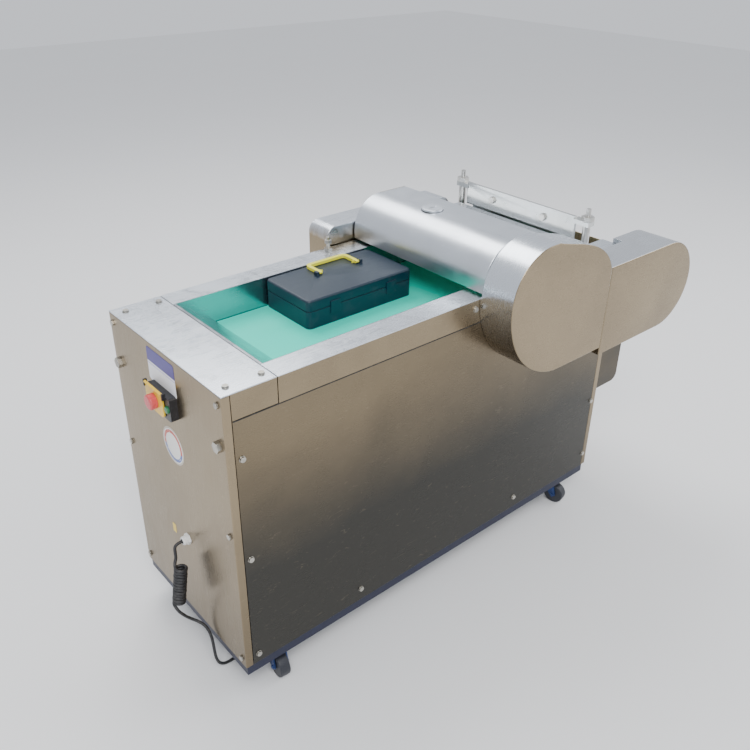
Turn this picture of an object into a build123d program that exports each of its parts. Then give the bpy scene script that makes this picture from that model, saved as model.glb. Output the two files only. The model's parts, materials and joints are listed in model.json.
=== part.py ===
from build123d import *
import math
import os

os.makedirs("parts", exist_ok=True)

# Cabinet: x runs from the switch end to the knife end, y from the near side to the far side.
cabinet_length = 1000.0
cabinet_width = 386.0
panel_height = 582.0
rail_height = 24.0
castor_height = 66.0
sheet = 2.0
seam = 1.0
panel_return = 15.0
skirt_height = 49.0
deck = castor_height + rail_height + panel_height
panel_bottom = deck - panel_height
far = cabinet_width
middle_y = cabinet_width / 2

# Stations along the machine, counted back from the rear end and from the knife posts.
post_x = cabinet_length - 115.0
drive_x = post_x - 95.0
stroke_x = post_x + 60.0
press_x = post_x - 228.0
nose_x = post_x - 80.0
motor_x = post_x - 365.0
trough_end = post_x - 15.0
hood_x = (post_x - 318.0, post_x - 39.0)
near_guard_x = (post_x - 328.0, post_x - 29.0)
far_guard_x = (post_x - 390.0, post_x - 25.0)
stroke_guard_start = post_x - 28.0
guard_reach = cabinet_length + 174.0

# Welded frame inside the cabinet.
tube = 30.0
frame_gap = sheet
bearing_rail_y = (26.0, 44.0)
bearing_rail_height = 40.0
shelf_rail_y = (60.0, 80.0)
shelf_rail_height = 18.0

# Feed trough and its belt.
side_strip = 48.0
trough_start = 107.0
trough_depth = 60.0
ramp_run = 77.0
ramp_lip = (0.4, 1.2)
belt_thickness = 2.0
belt_side_gap = 2.0
roller_radius = 34.7
belt_running_gap = 0.3
roller_drop = trough_depth + belt_thickness + belt_running_gap + roller_radius
idler_x = 150.0
shaft_radius = 10.0
take_up_radius = 5.0
take_up_inset = 19.0
running_fit = 0.05
wall_y = side_strip
inner_y = (wall_y + sheet, far - wall_y - sheet)
belt_top = deck - trough_depth
roller_z = deck - roller_drop
take_up_y = (take_up_inset, cabinet_width - take_up_inset)

# Knife, its posts and its crank.
post_y = 14.0
post_radius = 8.0
post_top = 76.0
stud_height = 26.0
stud_radius = 5.0
knife_stroke = 60.0
plate_x = (post_x - 7.0, post_x - 1.0)
plate_z = (30.0, 80.0)
plate_y = (side_strip - 8.0, cabinet_width - side_strip + 12.0)
blade_thickness = 2.5
blade_height = 68.0
blade_grind = 9.0
knife_bolt_y = (middle_y - 70.0, middle_y + 77.0)
knife_bolt_height = 57.0
knife_bolt_radius = 4.0
knife_bolt_head = 7.0
crosshead_drop = 148.0
crosshead_height = 20.0
crosshead_half = 12.0
rod_length = 180.0
rod_y = (13.0, 25.0)
pin_radius = 7.0
rod_eye_radius = 14.0
eye_gap = 2.0
crank_radius = knife_stroke / 2
crank_disc_radius = 45.0
crank_disc_y = (27.0, 35.0)
crank_shaft_radius = 12.5
open_pivot_gap = 0.5
wrist_z = deck - crosshead_drop - crosshead_height - rod_eye_radius - eye_gap
crank_z = wrist_z - rod_length - crank_radius

# Drive inside the cabinet.
motor_radius = 75.0
motor_length = 190.0
motor_y = 116.0
motor_foot = 8.0
motor_gap = 6.0
small_pulley_radius = 33.0
large_pulley_radius = 66.0
pulley_y = (84.0, 104.0)
v_belt_width = 10.0
v_belt_height = 8.0
groove_gap = 0.4
sprocket_radius = 26.0
chain_height = 5.0
chain_y = (38.0, 43.0)
chain_clearance = 1.5
shelf_top = crank_z - 24.0
motor_z = shelf_top + motor_foot + motor_radius + motor_gap

# Ratchet feed under the near guards.
stroke_drop = 100.0
stroke_disc_radius = 65.0
stroke_disc_y = (-50.0, -40.0)
stroke_pin_radius = 12.0
stroke_slot = (6.0, 45.0)
link_pin_radius = 5.0
stroke_shaft_radius = 9.0
ratchet_radius = 50.0
ratchet_teeth = 30
ratchet_y = (-38.0, -28.0)
arm_y = (-50.0, -42.0)
arm_length = 60.0
feed_rod_y = (-60.0, -52.0)
press_height = 50.0
press_roller_radius = 28.0
press_shaft_radius = 8.0
nose_height = 10.0
nose_radius = 14.0

# Covers.
guard_depth = 80.0
guard_gap = 3.5
guard_top = 105.0
guard_bottom = -172.0
guard_upper_radius = 100.0
guard_lower_radius = 149.0
guard_lower_flat = (4.0, 7.0)
guard_waist = -10.0
guard_shoulder = ((119.0, 105.0), (214.0, 79.0), (278.0, 42.0), (299.0, 7.0))
guard_back_height = 3.0
stroke_guard_radius = 100.0
stroke_guard_top = 10.0
stroke_guard_wrap = 20.0
guard_window_y = (-guard_depth + 2 * sheet, 1.0)
guard_window_z = (deck + guard_bottom + sheet, deck + guard_back_height)
hood_gap = 5.0
hood_top = 94.0
hood_arc = 70.0
hood_flat_end = hood_x[0] + 143.0
hood_rear_height = 32.0
hood_cap_place = (hood_x[0] + 79.0, middle_y + 35.0)
hood_cap_radius = 22.0
hood_cap_height = 5.0
chute_reach = 108.0
chute_inset = 20.0
chute_bottom = 385.0
chute_mouth = 255.0
far_guard_depth = 70.0
far_guard_corner = 25.0
far_guard_top = 42.0
far_guard_bottom = 190.0

# Castors.
wheel_radius = 25.0
wheel_width = 22.0
castor_inset_x = 85.0
castor_inset_y = 42.0
castor_trail = 22.0
castor_headings = (265.0, 282.0, 75.0, 110.0)
axle_radius = 4.0

# Switch and cord outlet.
switch_y = (150.0, 232.0)
switch_z = (116.0, 71.0)
switch_depth = 14.0
flap_y = (168.0, 228.0)
flap_drop = 46.0
flap_gap = 1.0
flap_thickness = 3.0
hinge_x = -17.5
hinge_radius = 3.0
hinge_pin_radius = 1.25
knob_radius = 14.0
knob_reach = 13.0
start_radius = 6.5
start_y = 159.0
gland_y = 175.0
gland_drop = 389.0
gland_radius = 10.0
gland_reach = 14.0
cord_radius = 3.0

# Tool case carried in the trough.
case_x = (300.0, 560.0)
case_y = (cabinet_width - 194.0, cabinet_width - 52.0)
case_height = 58.0
lift_gap = 0.3
handle_x = (case_x[0] + 92.0, case_x[0] + 194.0)
handle_y = (case_y[0] + 91.0, case_y[1] - 8.0)
handle_width = 8.0
handle_thickness = 6.0
handle_pin_radius = 2.0

# The origin lies on the floor under the middle of the machine, cord left out.
switch_reach = switch_depth + flap_gap + flap_thickness + knob_reach
origin_x = (guard_reach - switch_reach) / 2
origin_y = (cabinet_width + far_guard_depth - guard_depth) / 2


def save(piece, name):
    """Label a finished piece and write it with the origin under the middle of the machine."""
    solid = piece.part.moved(Location((-origin_x, -origin_y, 0)))
    solid.label = name
    export_step(solid, f"parts/{name}.step")


def block(x, y, z, mode=Mode.ADD):
    """A box between its limits along each axis."""
    with Locations((sum(x) / 2, sum(y) / 2, sum(z) / 2)):
        Box(x[1] - x[0], y[1] - y[0], z[1] - z[0], mode=mode)


def bar_y(x, z, y, radius, mode=Mode.ADD):
    """A round bar or bore along y."""
    with Locations(Location((x, sum(y) / 2, z), (90, 0, 0))):
        Cylinder(radius, y[1] - y[0], mode=mode)


def bar_x(y, z, x, radius, mode=Mode.ADD):
    """A round bar or bore along x."""
    with Locations(Location((sum(x) / 2, y, z), (0, 90, 0))):
        Cylinder(radius, x[1] - x[0], mode=mode)


def bar_z(x, y, z, radius, mode=Mode.ADD):
    """A round bar or bore along z."""
    with Locations((x, y, sum(z) / 2)):
        Cylinder(radius, z[1] - z[0], mode=mode)


def mirrored(y):
    """The same limits measured from the far side."""
    return (far - y[1], far - y[0])


def side_plane(y):
    """A plane facing the near side at depth y, with sketch x along x and sketch y up from the deck."""
    return Plane(origin=(0, y, deck), x_dir=(1, 0, 0), z_dir=(0, -1, 0))


def loop_y(ends, y, height, gap):
    """A belt or chain of even height around two wheels given as x, z and radius."""
    with BuildSketch(Plane(origin=(0, y[1], 0), x_dir=(1, 0, 0), z_dir=(0, -1, 0))) as ring:
        with BuildSketch(mode=Mode.PRIVATE) as outer:
            for x, z, radius in ends:
                with Locations((x, z)):
                    Circle(radius + gap + height)
            make_hull()
        with BuildSketch(mode=Mode.PRIVATE) as inner:
            for x, z, radius in ends:
                with Locations((x, z)):
                    Circle(radius + gap)
            make_hull()
        add(outer.sketch)
        add(inner.sketch, mode=Mode.SUBTRACT)
    extrude(ring.sketch, amount=y[1] - y[0])


rear_corner = cabinet_length - frame_gap * 3
corner_x = ((frame_gap * 2, frame_gap * 2 + tube), (rear_corner - tube, rear_corner))
corner_y = ((frame_gap * 2, frame_gap * 2 + tube), mirrored((frame_gap * 2, frame_gap * 2 + tube)))
castor_places = [
    (x, y)
    for y in (castor_inset_y, far - castor_inset_y)
    for x in (castor_inset_x, cabinet_length - castor_inset_x)
]
rail_z = (roller_z - bearing_rail_height / 2, roller_z + bearing_rail_height / 2)
rail_end = post_x - crosshead_half - 10.0
strut_x = (post_x - crank_disc_radius - 10.0 - tube, post_x - crank_disc_radius - 10.0)
shaft_windows = (
    (drive_x, roller_z, shaft_radius + 8),
    (stroke_x, deck - stroke_drop, stroke_shaft_radius + 8),
)


def base_frame():
    """Tube uprights on a ring of rails, with bearing rails above and a shelf for the drive."""
    with BuildPart() as frame:
        for x in corner_x:
            for y in corner_y:
                block(x, y, (castor_height, deck - 3 * sheet))
        for y in corner_y:
            block((corner_x[0][1], corner_x[1][0]), y, (castor_height, castor_height + rail_height))
        for x in corner_x:
            block(x, (corner_y[0][1], corner_y[1][0]), (castor_height, castor_height + rail_height))
            block(x, (corner_y[0][1], corner_y[1][0]), (shelf_top - shelf_rail_height, shelf_top))
        for y in (shelf_rail_y, mirrored(shelf_rail_y)):
            block((corner_x[0][1], corner_x[1][0]), y, (shelf_top - shelf_rail_height, shelf_top))
        for y in (bearing_rail_y, mirrored(bearing_rail_y)):
            block((corner_x[0][1] - tube / 2, rail_end), y, rail_z)
            block(strut_x, y, (shelf_top, rail_z[0]))
        for y in (shelf_rail_y, mirrored(shelf_rail_y)):
            near_side = y[0] < middle_y
            reach = (bearing_rail_y[0], y[0]) if near_side else (y[1], far - bearing_rail_y[0])
            block(strut_x, reach, (shelf_top - shelf_rail_height, shelf_top))
        for x in (idler_x, drive_x):
            bar_y(x, roller_z, (bearing_rail_y[0], far - bearing_rail_y[0]), shaft_radius + 2, Mode.SUBTRACT)
        for y in take_up_y:
            bar_x(y, roller_z, (0, idler_x), take_up_radius + running_fit, Mode.SUBTRACT)
        for x, y in castor_places:
            block((x - 32, x + 32), (y - 32, y + 32), (castor_height - 3, castor_height))
    save(frame, "base_frame")


def end_panel(outer_x, inward, window=None, bores=()):
    """A folded sheet end with returns along both sides and the top left open under the deck."""
    face = sorted((outer_x, outer_x + inward * panel_return))
    hollow = sorted((outer_x + inward * sheet, outer_x + inward * (panel_return + sheet)))
    with BuildPart() as panel:
        block(face, (0, far), (panel_bottom, deck - sheet))
        upright = panel.edges().filter_by(Axis.Z)
        outside = upright.group_by(Axis.X)[0] if inward > 0 else upright.group_by(Axis.X)[-1]
        fillet(outside, sheet)
        block(hollow, (sheet, far - sheet), (panel_bottom - sheet, deck), Mode.SUBTRACT)
        for y in bores:
            through = (outer_x - 1, outer_x + sheet + 1)
            bar_x(y, roller_z, through, take_up_radius + running_fit, Mode.SUBTRACT)
        if window:
            block((outer_x - panel_return, outer_x + panel_return), window[0], window[1], Mode.SUBTRACT)
    return panel


def cabinet():
    """Two end panels and two side panels around the frame."""
    front = end_panel(0.0, 1, bores=take_up_y)
    save(front, "front_end_panel")
    window_y = (chute_inset, far - chute_inset)
    window_z = (deck - chute_bottom + sheet, deck - trough_depth)
    rear = end_panel(cabinet_length, -1, (window_y, window_z))
    save(rear, "rear_end_panel")
    side_x = (panel_return + seam, cabinet_length - panel_return - seam)
    side_z = (panel_bottom, deck - skirt_height - seam)
    for name, y in (("near_side_panel", (0, sheet)), ("far_side_panel", (far - sheet, far))):
        with BuildPart() as panel:
            block(side_x, y, side_z)
            for x, z, radius in shaft_windows:
                bar_y(x, z, y, radius, Mode.SUBTRACT)
        save(panel, name)


def deck_sheets():
    """The folded end plate and the two folded side strips beside the trough."""
    end_length = trough_start - 6.0
    with BuildPart() as plate:
        block((0, end_length), (0, far), (deck - sheet, deck))
        for y in ((0, sheet), (far - sheet, far)):
            block((panel_return + seam, end_length), y, (deck - skirt_height, deck))
        fillet(plate.edges().filter_by(Axis.Y).group_by(Axis.Z)[-1].sort_by(Axis.X)[0], sheet / 2)
    save(plate, "deck_end_plate")
    slot_x = (post_x - crosshead_half - 1, post_x + crosshead_half + 1)
    with BuildPart() as strips:
        for near in (True, False):
            top_y = (0, wall_y) if near else (far - wall_y, far)
            skirt_y = (0, sheet) if near else (far - sheet, far)
            notch_y = (plate_y[0] - 4, wall_y) if near else (far - wall_y, plate_y[1] + 4)
            bush_y = post_y if near else far - post_y
            block((end_length + seam, cabinet_length), top_y, (deck - sheet, deck))
            skirt_end = cabinet_length - panel_return - seam
            block((end_length + seam, skirt_end), skirt_y, (deck - skirt_height, deck))
            block(slot_x, notch_y, (deck - sheet, deck), Mode.SUBTRACT)
            bar_z(post_x, bush_y, (deck - sheet, deck), post_radius + 4, Mode.SUBTRACT)
    save(strips, "deck_side_strips")


def trough():
    """Side walls, slanted infeed ramp, slider bed, belt and the white board under the knife."""
    wall_z = (belt_top - 4, deck)
    with BuildPart() as walls:
        for y in ((wall_y, wall_y + sheet), (far - wall_y - sheet, far - wall_y)):
            block((trough_start - 6 + seam, trough_end), y, wall_z)
    save(walls, "trough_walls")
    inner = inner_y
    ramp_end = trough_start + ramp_run
    with BuildPart() as ramp:
        with BuildSketch(side_plane(inner[1])) as profile:
            with BuildLine():
                Polyline(
                    (trough_start - 6 + seam, 0),
                    (trough_start, 0),
                    (ramp_end, -trough_depth + ramp_lip[1]),
                    (ramp_end, -trough_depth + ramp_lip[0]),
                    (ramp_end - 3, -trough_depth + ramp_lip[0]),
                    (trough_start - sheet, -sheet),
                    (trough_start - 6 + seam, -sheet),
                    close=True,
                )
            make_face()
        extrude(amount=inner[1] - inner[0])
    save(ramp, "infeed_ramp")
    bed_z = (belt_top - belt_thickness - 2, belt_top - belt_thickness)
    with BuildPart() as bed:
        block((idler_x + roller_radius + 5, drive_x - roller_radius - 5), inner, bed_z)
    save(bed, "slider_bed")
    ends = ((idler_x, roller_z, roller_radius), (drive_x, roller_z, roller_radius))
    with BuildPart() as belt:
        width = (inner[0] + belt_side_gap, inner[1] - belt_side_gap)
        loop_y(ends, width, belt_thickness, belt_running_gap)
    save(belt, "conveyor_belt")
    board_x = (drive_x + roller_radius + belt_thickness + 2, post_x + crosshead_half)
    with BuildPart() as board:
        block(board_x, inner, (rail_z[1], belt_top))
        rest_y = (bearing_rail_y[0], far - bearing_rail_y[0])
        block((rail_end - tube, rail_end - 2), rest_y, (rail_z[1], belt_top - 5))
    save(board, "cutting_board")


def hood():
    """The closed hood over the trough, its side outline swept across the machine, open below."""
    front, back = hood_x
    flat_start = front + hood_arc

    def outline(inset):
        with BuildLine() as path:
            Line((front + inset, hood_gap), (front + inset, hood_top - hood_arc))
            Line((flat_start, hood_top - inset), (hood_flat_end, hood_top - inset))
            ThreePointArc(
                (front + inset, hood_top - hood_arc),
                (flat_start - (hood_arc - inset) * math.sin(math.pi / 4),
                 hood_top - hood_arc + (hood_arc - inset) * math.sin(math.pi / 4)),
                (flat_start, hood_top - inset),
            )
            Polyline(
                (hood_flat_end, hood_top - inset),
                (back - inset, hood_rear_height - inset),
                (back - inset, hood_gap),
                (front + inset, hood_gap),
            )
        return path.line

    with BuildPart() as cover:
        with BuildSketch(side_plane(far)):
            make_face(outline(0))
        extrude(amount=far)
        fillet(cover.edges().filter_by(Axis.Y).group_by(Axis.Z)[-1], 2)
        with BuildSketch(side_plane(far - sheet)) as hollow:
            make_face(outline(sheet))
        extrude(hollow.sketch, amount=far - 2 * sheet, mode=Mode.SUBTRACT)
        for y in ((0, sheet), (far - sheet, far)):
            for x in (front + 20, back - 40):
                block((x, x + 20), y, (deck, deck + hood_gap))
    save(cover, "hood")
    with BuildPart() as cap:
        x, y = hood_cap_place
        top = deck + hood_top + hood_cap_height
        bar_z(x, y, (deck + hood_top, top), hood_cap_radius)
        fillet(cap.edges().group_by(Axis.Z)[-1], 2)
        block((x - 9, x + 9), (y - 1.5, y + 1.5), (top - 2, top + 1), Mode.SUBTRACT)
    save(cap, "hood_cap")


def guard_outline(inset):
    """The crank guard's outline: a round upper left corner and a wide round lower left one."""
    left, right = near_guard_x
    diagonal = math.sqrt(0.5)
    upper_run = (guard_upper_radius - inset) * diagonal
    lower_run = (guard_lower_radius - inset) * diagonal
    upper_centre = (left + guard_upper_radius, guard_top - guard_upper_radius)
    lower_centre = (left + guard_lower_radius, guard_bottom + guard_lower_radius)
    flat_x, flat_z = guard_lower_flat
    shoulder = [(left + x, z - inset) for x, z in guard_shoulder]
    with BuildLine() as path:
        Line((left + inset, guard_waist), (left + inset, upper_centre[1]))
        ThreePointArc(
            (left + inset, upper_centre[1]),
            (upper_centre[0] - upper_run, upper_centre[1] + upper_run),
            (upper_centre[0], guard_top - inset),
        )
        Line((upper_centre[0], guard_top - inset), shoulder[0])
        rear_top = (right - inset, guard_shoulder[3][1])
        Spline(shoulder[0], shoulder[1], (shoulder[2][0] - inset, shoulder[2][1]), rear_top)
        Line(rear_top, (right - inset, guard_bottom + inset))
        Line((right - inset, guard_bottom + inset), (lower_centre[0], guard_bottom + inset))
        ThreePointArc(
            (lower_centre[0], guard_bottom + inset),
            (lower_centre[0] - lower_run + flat_x, lower_centre[1] - lower_run + flat_z),
            (left + inset, guard_waist),
        )
    return path.line


def near_guard():
    """The folded guard over the ratchet feed, open towards the cabinet and to the stroke guard."""
    left, right = near_guard_x
    with BuildPart() as guard:
        with BuildSketch(side_plane(0)) as full:
            make_face(guard_outline(0))
        extrude(full.sketch, amount=guard_depth)
        with BuildSketch(side_plane(0)) as lower:
            make_face(guard_outline(sheet))
        extrude(lower.sketch, amount=guard_depth - sheet, mode=Mode.SUBTRACT)
        above = (deck + guard_back_height, deck + guard_top + 1)
        block((left - 1, right + 1), (-guard_gap, 1), above, Mode.SUBTRACT)
        block((right - 8 * sheet, right + 1), guard_window_y, guard_window_z, Mode.SUBTRACT)
        with BuildSketch(side_plane(-guard_gap)) as back:
            make_face(guard_outline(0))
        with BuildSketch(side_plane(-guard_gap)) as below:
            with Locations(((left + right) / 2, guard_back_height + guard_bottom)):
                Rectangle(2 * (right - left), -2 * guard_bottom)
        plate = extrude(back.sketch - below.sketch, amount=sheet, mode=Mode.PRIVATE)
        add(plate)
    save(guard, "near_guard")


def stroke_guard():
    """The lower guard over the stroke disc, with a large round end beyond the cabinet."""
    left = stroke_guard_start
    radius = stroke_guard_radius
    centre = guard_reach - radius
    top = stroke_guard_top
    bottom = top - 2 * radius
    depth = guard_depth + stroke_guard_wrap

    def outline(inset):
        with BuildLine() as path:
            Line((left + inset, top - inset), (centre, top - inset))
            nose = (centre + radius - inset, top - radius)
            ThreePointArc((centre, top - inset), nose, (centre, bottom + inset))
            Line((centre, bottom + inset), (left + inset, bottom + inset))
            Line((left + inset, bottom + inset), (left + inset, top - inset))
        return path.line

    with BuildPart() as guard:
        with BuildSketch(side_plane(stroke_guard_wrap)) as full:
            make_face(outline(0))
        extrude(full.sketch, amount=depth)
        fillet(guard.faces().sort_by(Axis.Y)[0].edges(), 3)
        with BuildSketch(side_plane(stroke_guard_wrap - sheet)) as hollow:
            make_face(outline(sheet))
        extrude(hollow.sketch, amount=depth - 2 * sheet, mode=Mode.SUBTRACT)
        beside = (left - 1, cabinet_length)
        whole = (deck + bottom - 1, deck + top + 1)
        block(beside, (0, stroke_guard_wrap + 1), whole, Mode.SUBTRACT)
        block(beside, (-guard_gap, 1), (deck - 0.5, whole[1]), Mode.SUBTRACT)
        block((left - 1, left + 4 * sheet), guard_window_y, guard_window_z, Mode.SUBTRACT)
    save(guard, "stroke_guard")


def far_guard():
    """The rounded cover on the far side, open towards the cabinet."""
    left, right = far_guard_x
    with BuildPart() as guard:
        block(far_guard_x, (far, far + far_guard_depth), (deck - far_guard_bottom, deck + far_guard_top))
        upright = guard.edges().filter_by(Axis.Y).group_by(Axis.Z)
        fillet(upright[-1], far_guard_corner)
        fillet(guard.faces().sort_by(Axis.Y)[-1].edges(), 3)
        hollow_y = (far - 1, far + far_guard_depth - sheet)
        shoulder_z = deck + far_guard_top - far_guard_corner - 3
        hollow_z = (deck - far_guard_bottom + sheet, shoulder_z)
        crown_x = (left + far_guard_corner, right - far_guard_corner)
        block((left + sheet, right - sheet), hollow_y, hollow_z, Mode.SUBTRACT)
        block(crown_x, hollow_y, (shoulder_z, deck + far_guard_top - sheet), Mode.SUBTRACT)
        above = (deck + 1, deck + far_guard_top + 1)
        block((left - 1, right + 1), (far - 1, far + guard_gap), above, Mode.SUBTRACT)
        back_z = (deck + 1, shoulder_z)
        block((left + sheet, right - sheet), (far + guard_gap, far + guard_gap + sheet), back_z)
    save(guard, "far_guard")


def chute():
    """Sloping outlet: a floor falling from the knife to the mouth, between two side cheeks."""
    start = (post_x + crosshead_half + 4, -trough_depth - 6)
    end = (cabinet_length + chute_reach - 12, -chute_bottom + 8)
    slope = (end[1] - start[1]) / (end[0] - start[0])
    wall_x = cabinet_length - sheet

    def height(x):
        return start[1] + slope * (x - start[0])

    inner = inner_y
    outer = (chute_inset, far - chute_inset)
    with BuildPart() as spout:
        with BuildSketch(side_plane(inner[1])) as floor:
            with BuildLine():
                Polyline(
                    start,
                    (wall_x, height(wall_x)),
                    (wall_x, height(wall_x) - 4),
                    (start[0], start[1] - 4),
                    close=True,
                )
            make_face()
        extrude(floor.sketch, amount=inner[1] - inner[0])
        with BuildSketch(side_plane(outer[1])) as apron:
            with BuildLine():
                Polyline(
                    (wall_x, height(wall_x)),
                    end,
                    (end[0], end[1] - 4),
                    (wall_x, height(wall_x) - 4),
                    close=True,
                )
            make_face()
        extrude(apron.sketch, amount=outer[1] - outer[0])
        reach = cabinet_length + chute_reach
        for y in (outer[0] + sheet, outer[1]):
            with BuildSketch(side_plane(y)) as cheek:
                with BuildLine():
                    Polyline(
                        (cabinet_length, -trough_depth - 2),
                        (reach, -chute_mouth + 55),
                        (reach, -chute_bottom + 20),
                    )
                    RadiusArc((reach, -chute_bottom + 20), (reach - 20, -chute_bottom), 20)
                    Polyline(
                        (reach - 20, -chute_bottom),
                        (cabinet_length, -chute_bottom),
                        (cabinet_length, -trough_depth - 2),
                    )
                make_face()
            extrude(cheek.sketch, amount=sheet)
        with BuildSketch(side_plane(outer[1])) as lid:
            with BuildLine():
                Polyline(
                    (cabinet_length, -trough_depth - 2),
                    (reach, -chute_mouth + 55),
                    (reach, -chute_mouth),
                    (reach - sheet, -chute_mouth),
                    (reach - sheet, -chute_mouth + 53),
                    (cabinet_length, -trough_depth - 5),
                    close=True,
                )
            make_face()
        extrude(lid.sketch, amount=outer[1] - outer[0])
        fence_z = (deck + height(start[0]) - 20, deck - sheet - 18)
        for y in ((inner[0] - sheet, inner[0]), (inner[1], inner[1] + sheet)):
            block((start[0], wall_x), y, fence_z)
    save(spout, "discharge_chute")


def knife():
    """Knife carriage: two posts on a crosshead, the plate between them, its blade and bolts."""
    head_z = (deck - crosshead_drop - crosshead_height, deck - crosshead_drop)
    posts_y = (post_y, far - post_y)
    with BuildPart() as posts:
        block((post_x - crosshead_half, post_x + crosshead_half), (5, far - 5), head_z)
        fillet(posts.edges().filter_by(Axis.Y), 3)
        chain_notch_y = (chain_y[0] - chain_clearance, chain_y[1] + chain_clearance)
        block((post_x - sheet, post_x + crosshead_half + 1), chain_notch_y, head_z, Mode.SUBTRACT)
        for y in posts_y:
            bar_z(post_x, y, (head_z[1] - 1, deck + post_top), post_radius)
            bar_z(post_x, y, (deck + post_top, deck + post_top + stud_height), stud_radius)
        for y in ((rod_y[1] + 2, rod_y[1] + 8), mirrored((rod_y[1] + 2, rod_y[1] + 8))):
            block((post_x - 11, post_x + 11), y, (wrist_z, head_z[0] + 1))
            bar_y(post_x, wrist_z, y, 11)
        for y in ((rod_y[0] - 3, rod_y[1] + 3), mirrored((rod_y[0] - 3, rod_y[1] + 3))):
            bar_y(post_x, wrist_z, y, pin_radius)
    save(posts, "guide_posts")
    with BuildPart() as plate:
        block(plate_x, plate_y, (deck + plate_z[0], deck + plate_z[1]))
        for y in ((4, plate_y[0] + 4), (plate_y[1] - 4, far - 4)):
            block((post_x - 10, post_x + 10), y, (deck + post_top - 10, deck + post_top))
        for y in posts_y:
            bar_z(post_x, y, (deck + post_top - 11, deck + post_top + 1), post_radius, Mode.SUBTRACT)
        for y in knife_bolt_y:
            through = (plate_x[0] - 1, plate_x[1] + 1)
            bar_x(y, deck + knife_bolt_height, through, knife_bolt_radius, Mode.SUBTRACT)
    save(plate, "knife_plate")
    blade_y = (wall_y + sheet + 2, far - wall_y - sheet - 2)
    blade_bottom = -trough_depth + 2 + knife_stroke
    with BuildPart() as blade:
        with BuildSketch(side_plane(blade_y[1])) as edge:
            with BuildLine():
                Polyline(
                    (plate_x[1], blade_bottom),
                    (plate_x[1], blade_bottom + blade_height),
                    (plate_x[1] + blade_thickness, blade_bottom + blade_height),
                    (plate_x[1] + blade_thickness, blade_bottom + blade_grind),
                    close=True,
                )
            make_face()
        extrude(edge.sketch, amount=blade_y[1] - blade_y[0])
        for y in knife_bolt_y:
            through = (plate_x[1] - 1, plate_x[1] + blade_thickness + 1)
            bar_x(y, deck + knife_bolt_height, through, knife_bolt_radius, Mode.SUBTRACT)
    save(blade, "knife_blade")
    with BuildPart() as bolts:
        for y in knife_bolt_y:
            nut_x = (plate_x[1] + blade_thickness, plate_x[1] + blade_thickness + 6)
            hexagon_x(y, deck + knife_bolt_height, (plate_x[0] - 5.5, plate_x[0]), knife_bolt_head)
            bar_x(y, deck + knife_bolt_height, (plate_x[0], nut_x[1] + 1.5), knife_bolt_radius)
            hexagon_x(y, deck + knife_bolt_height, nut_x, knife_bolt_head)
        for y in posts_y:
            hexagon_z(post_x, y, (deck + post_top, deck + post_top + 10), 12, stud_radius)
    save(bolts, "knife_bolts")


def hexagon_x(y, z, x, radius):
    """A hexagon head or nut along x."""
    with BuildSketch(Plane(origin=(x[0], y, z), x_dir=(0, 1, 0), z_dir=(1, 0, 0))) as face:
        RegularPolygon(radius, 6, major_radius=False)
    extrude(face.sketch, amount=x[1] - x[0])


def hexagon_z(x, y, z, radius, bore=0.0):
    """A hexagon head or nut along z, bored where it has a thread."""
    with BuildSketch(Plane(origin=(x, y, z[0]))) as face:
        RegularPolygon(radius, 6, major_radius=False)
        if bore:
            Circle(bore, mode=Mode.SUBTRACT)
    extrude(face.sketch, amount=z[1] - z[0])


def knife_guides():
    """Flanged guide bushes in the side strips and the bright strip in front of the knife."""
    with BuildPart() as bushes:
        for y in (post_y, far - post_y):
            bar_z(post_x, y, (deck - 40, deck), post_radius + 4)
            bar_z(post_x, y, (deck, deck + 4), post_radius + 5.5)
            bar_z(post_x, y, (deck - 41, deck + 5), post_radius + running_fit, Mode.SUBTRACT)
    save(bushes, "guide_bushes")
    strip_end = plate_x[0] - 8
    with BuildPart() as strip:
        block((hood_x[1] + 1, strip_end), (chute_inset, far - chute_inset), (deck + 28, deck + 30))
        for y in ((chute_inset, chute_inset + 3), (far - chute_inset - 3, far - chute_inset)):
            block((hood_x[1] + 1, strip_end), y, (deck, deck + 28))
    save(strip, "gate_strip")


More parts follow.
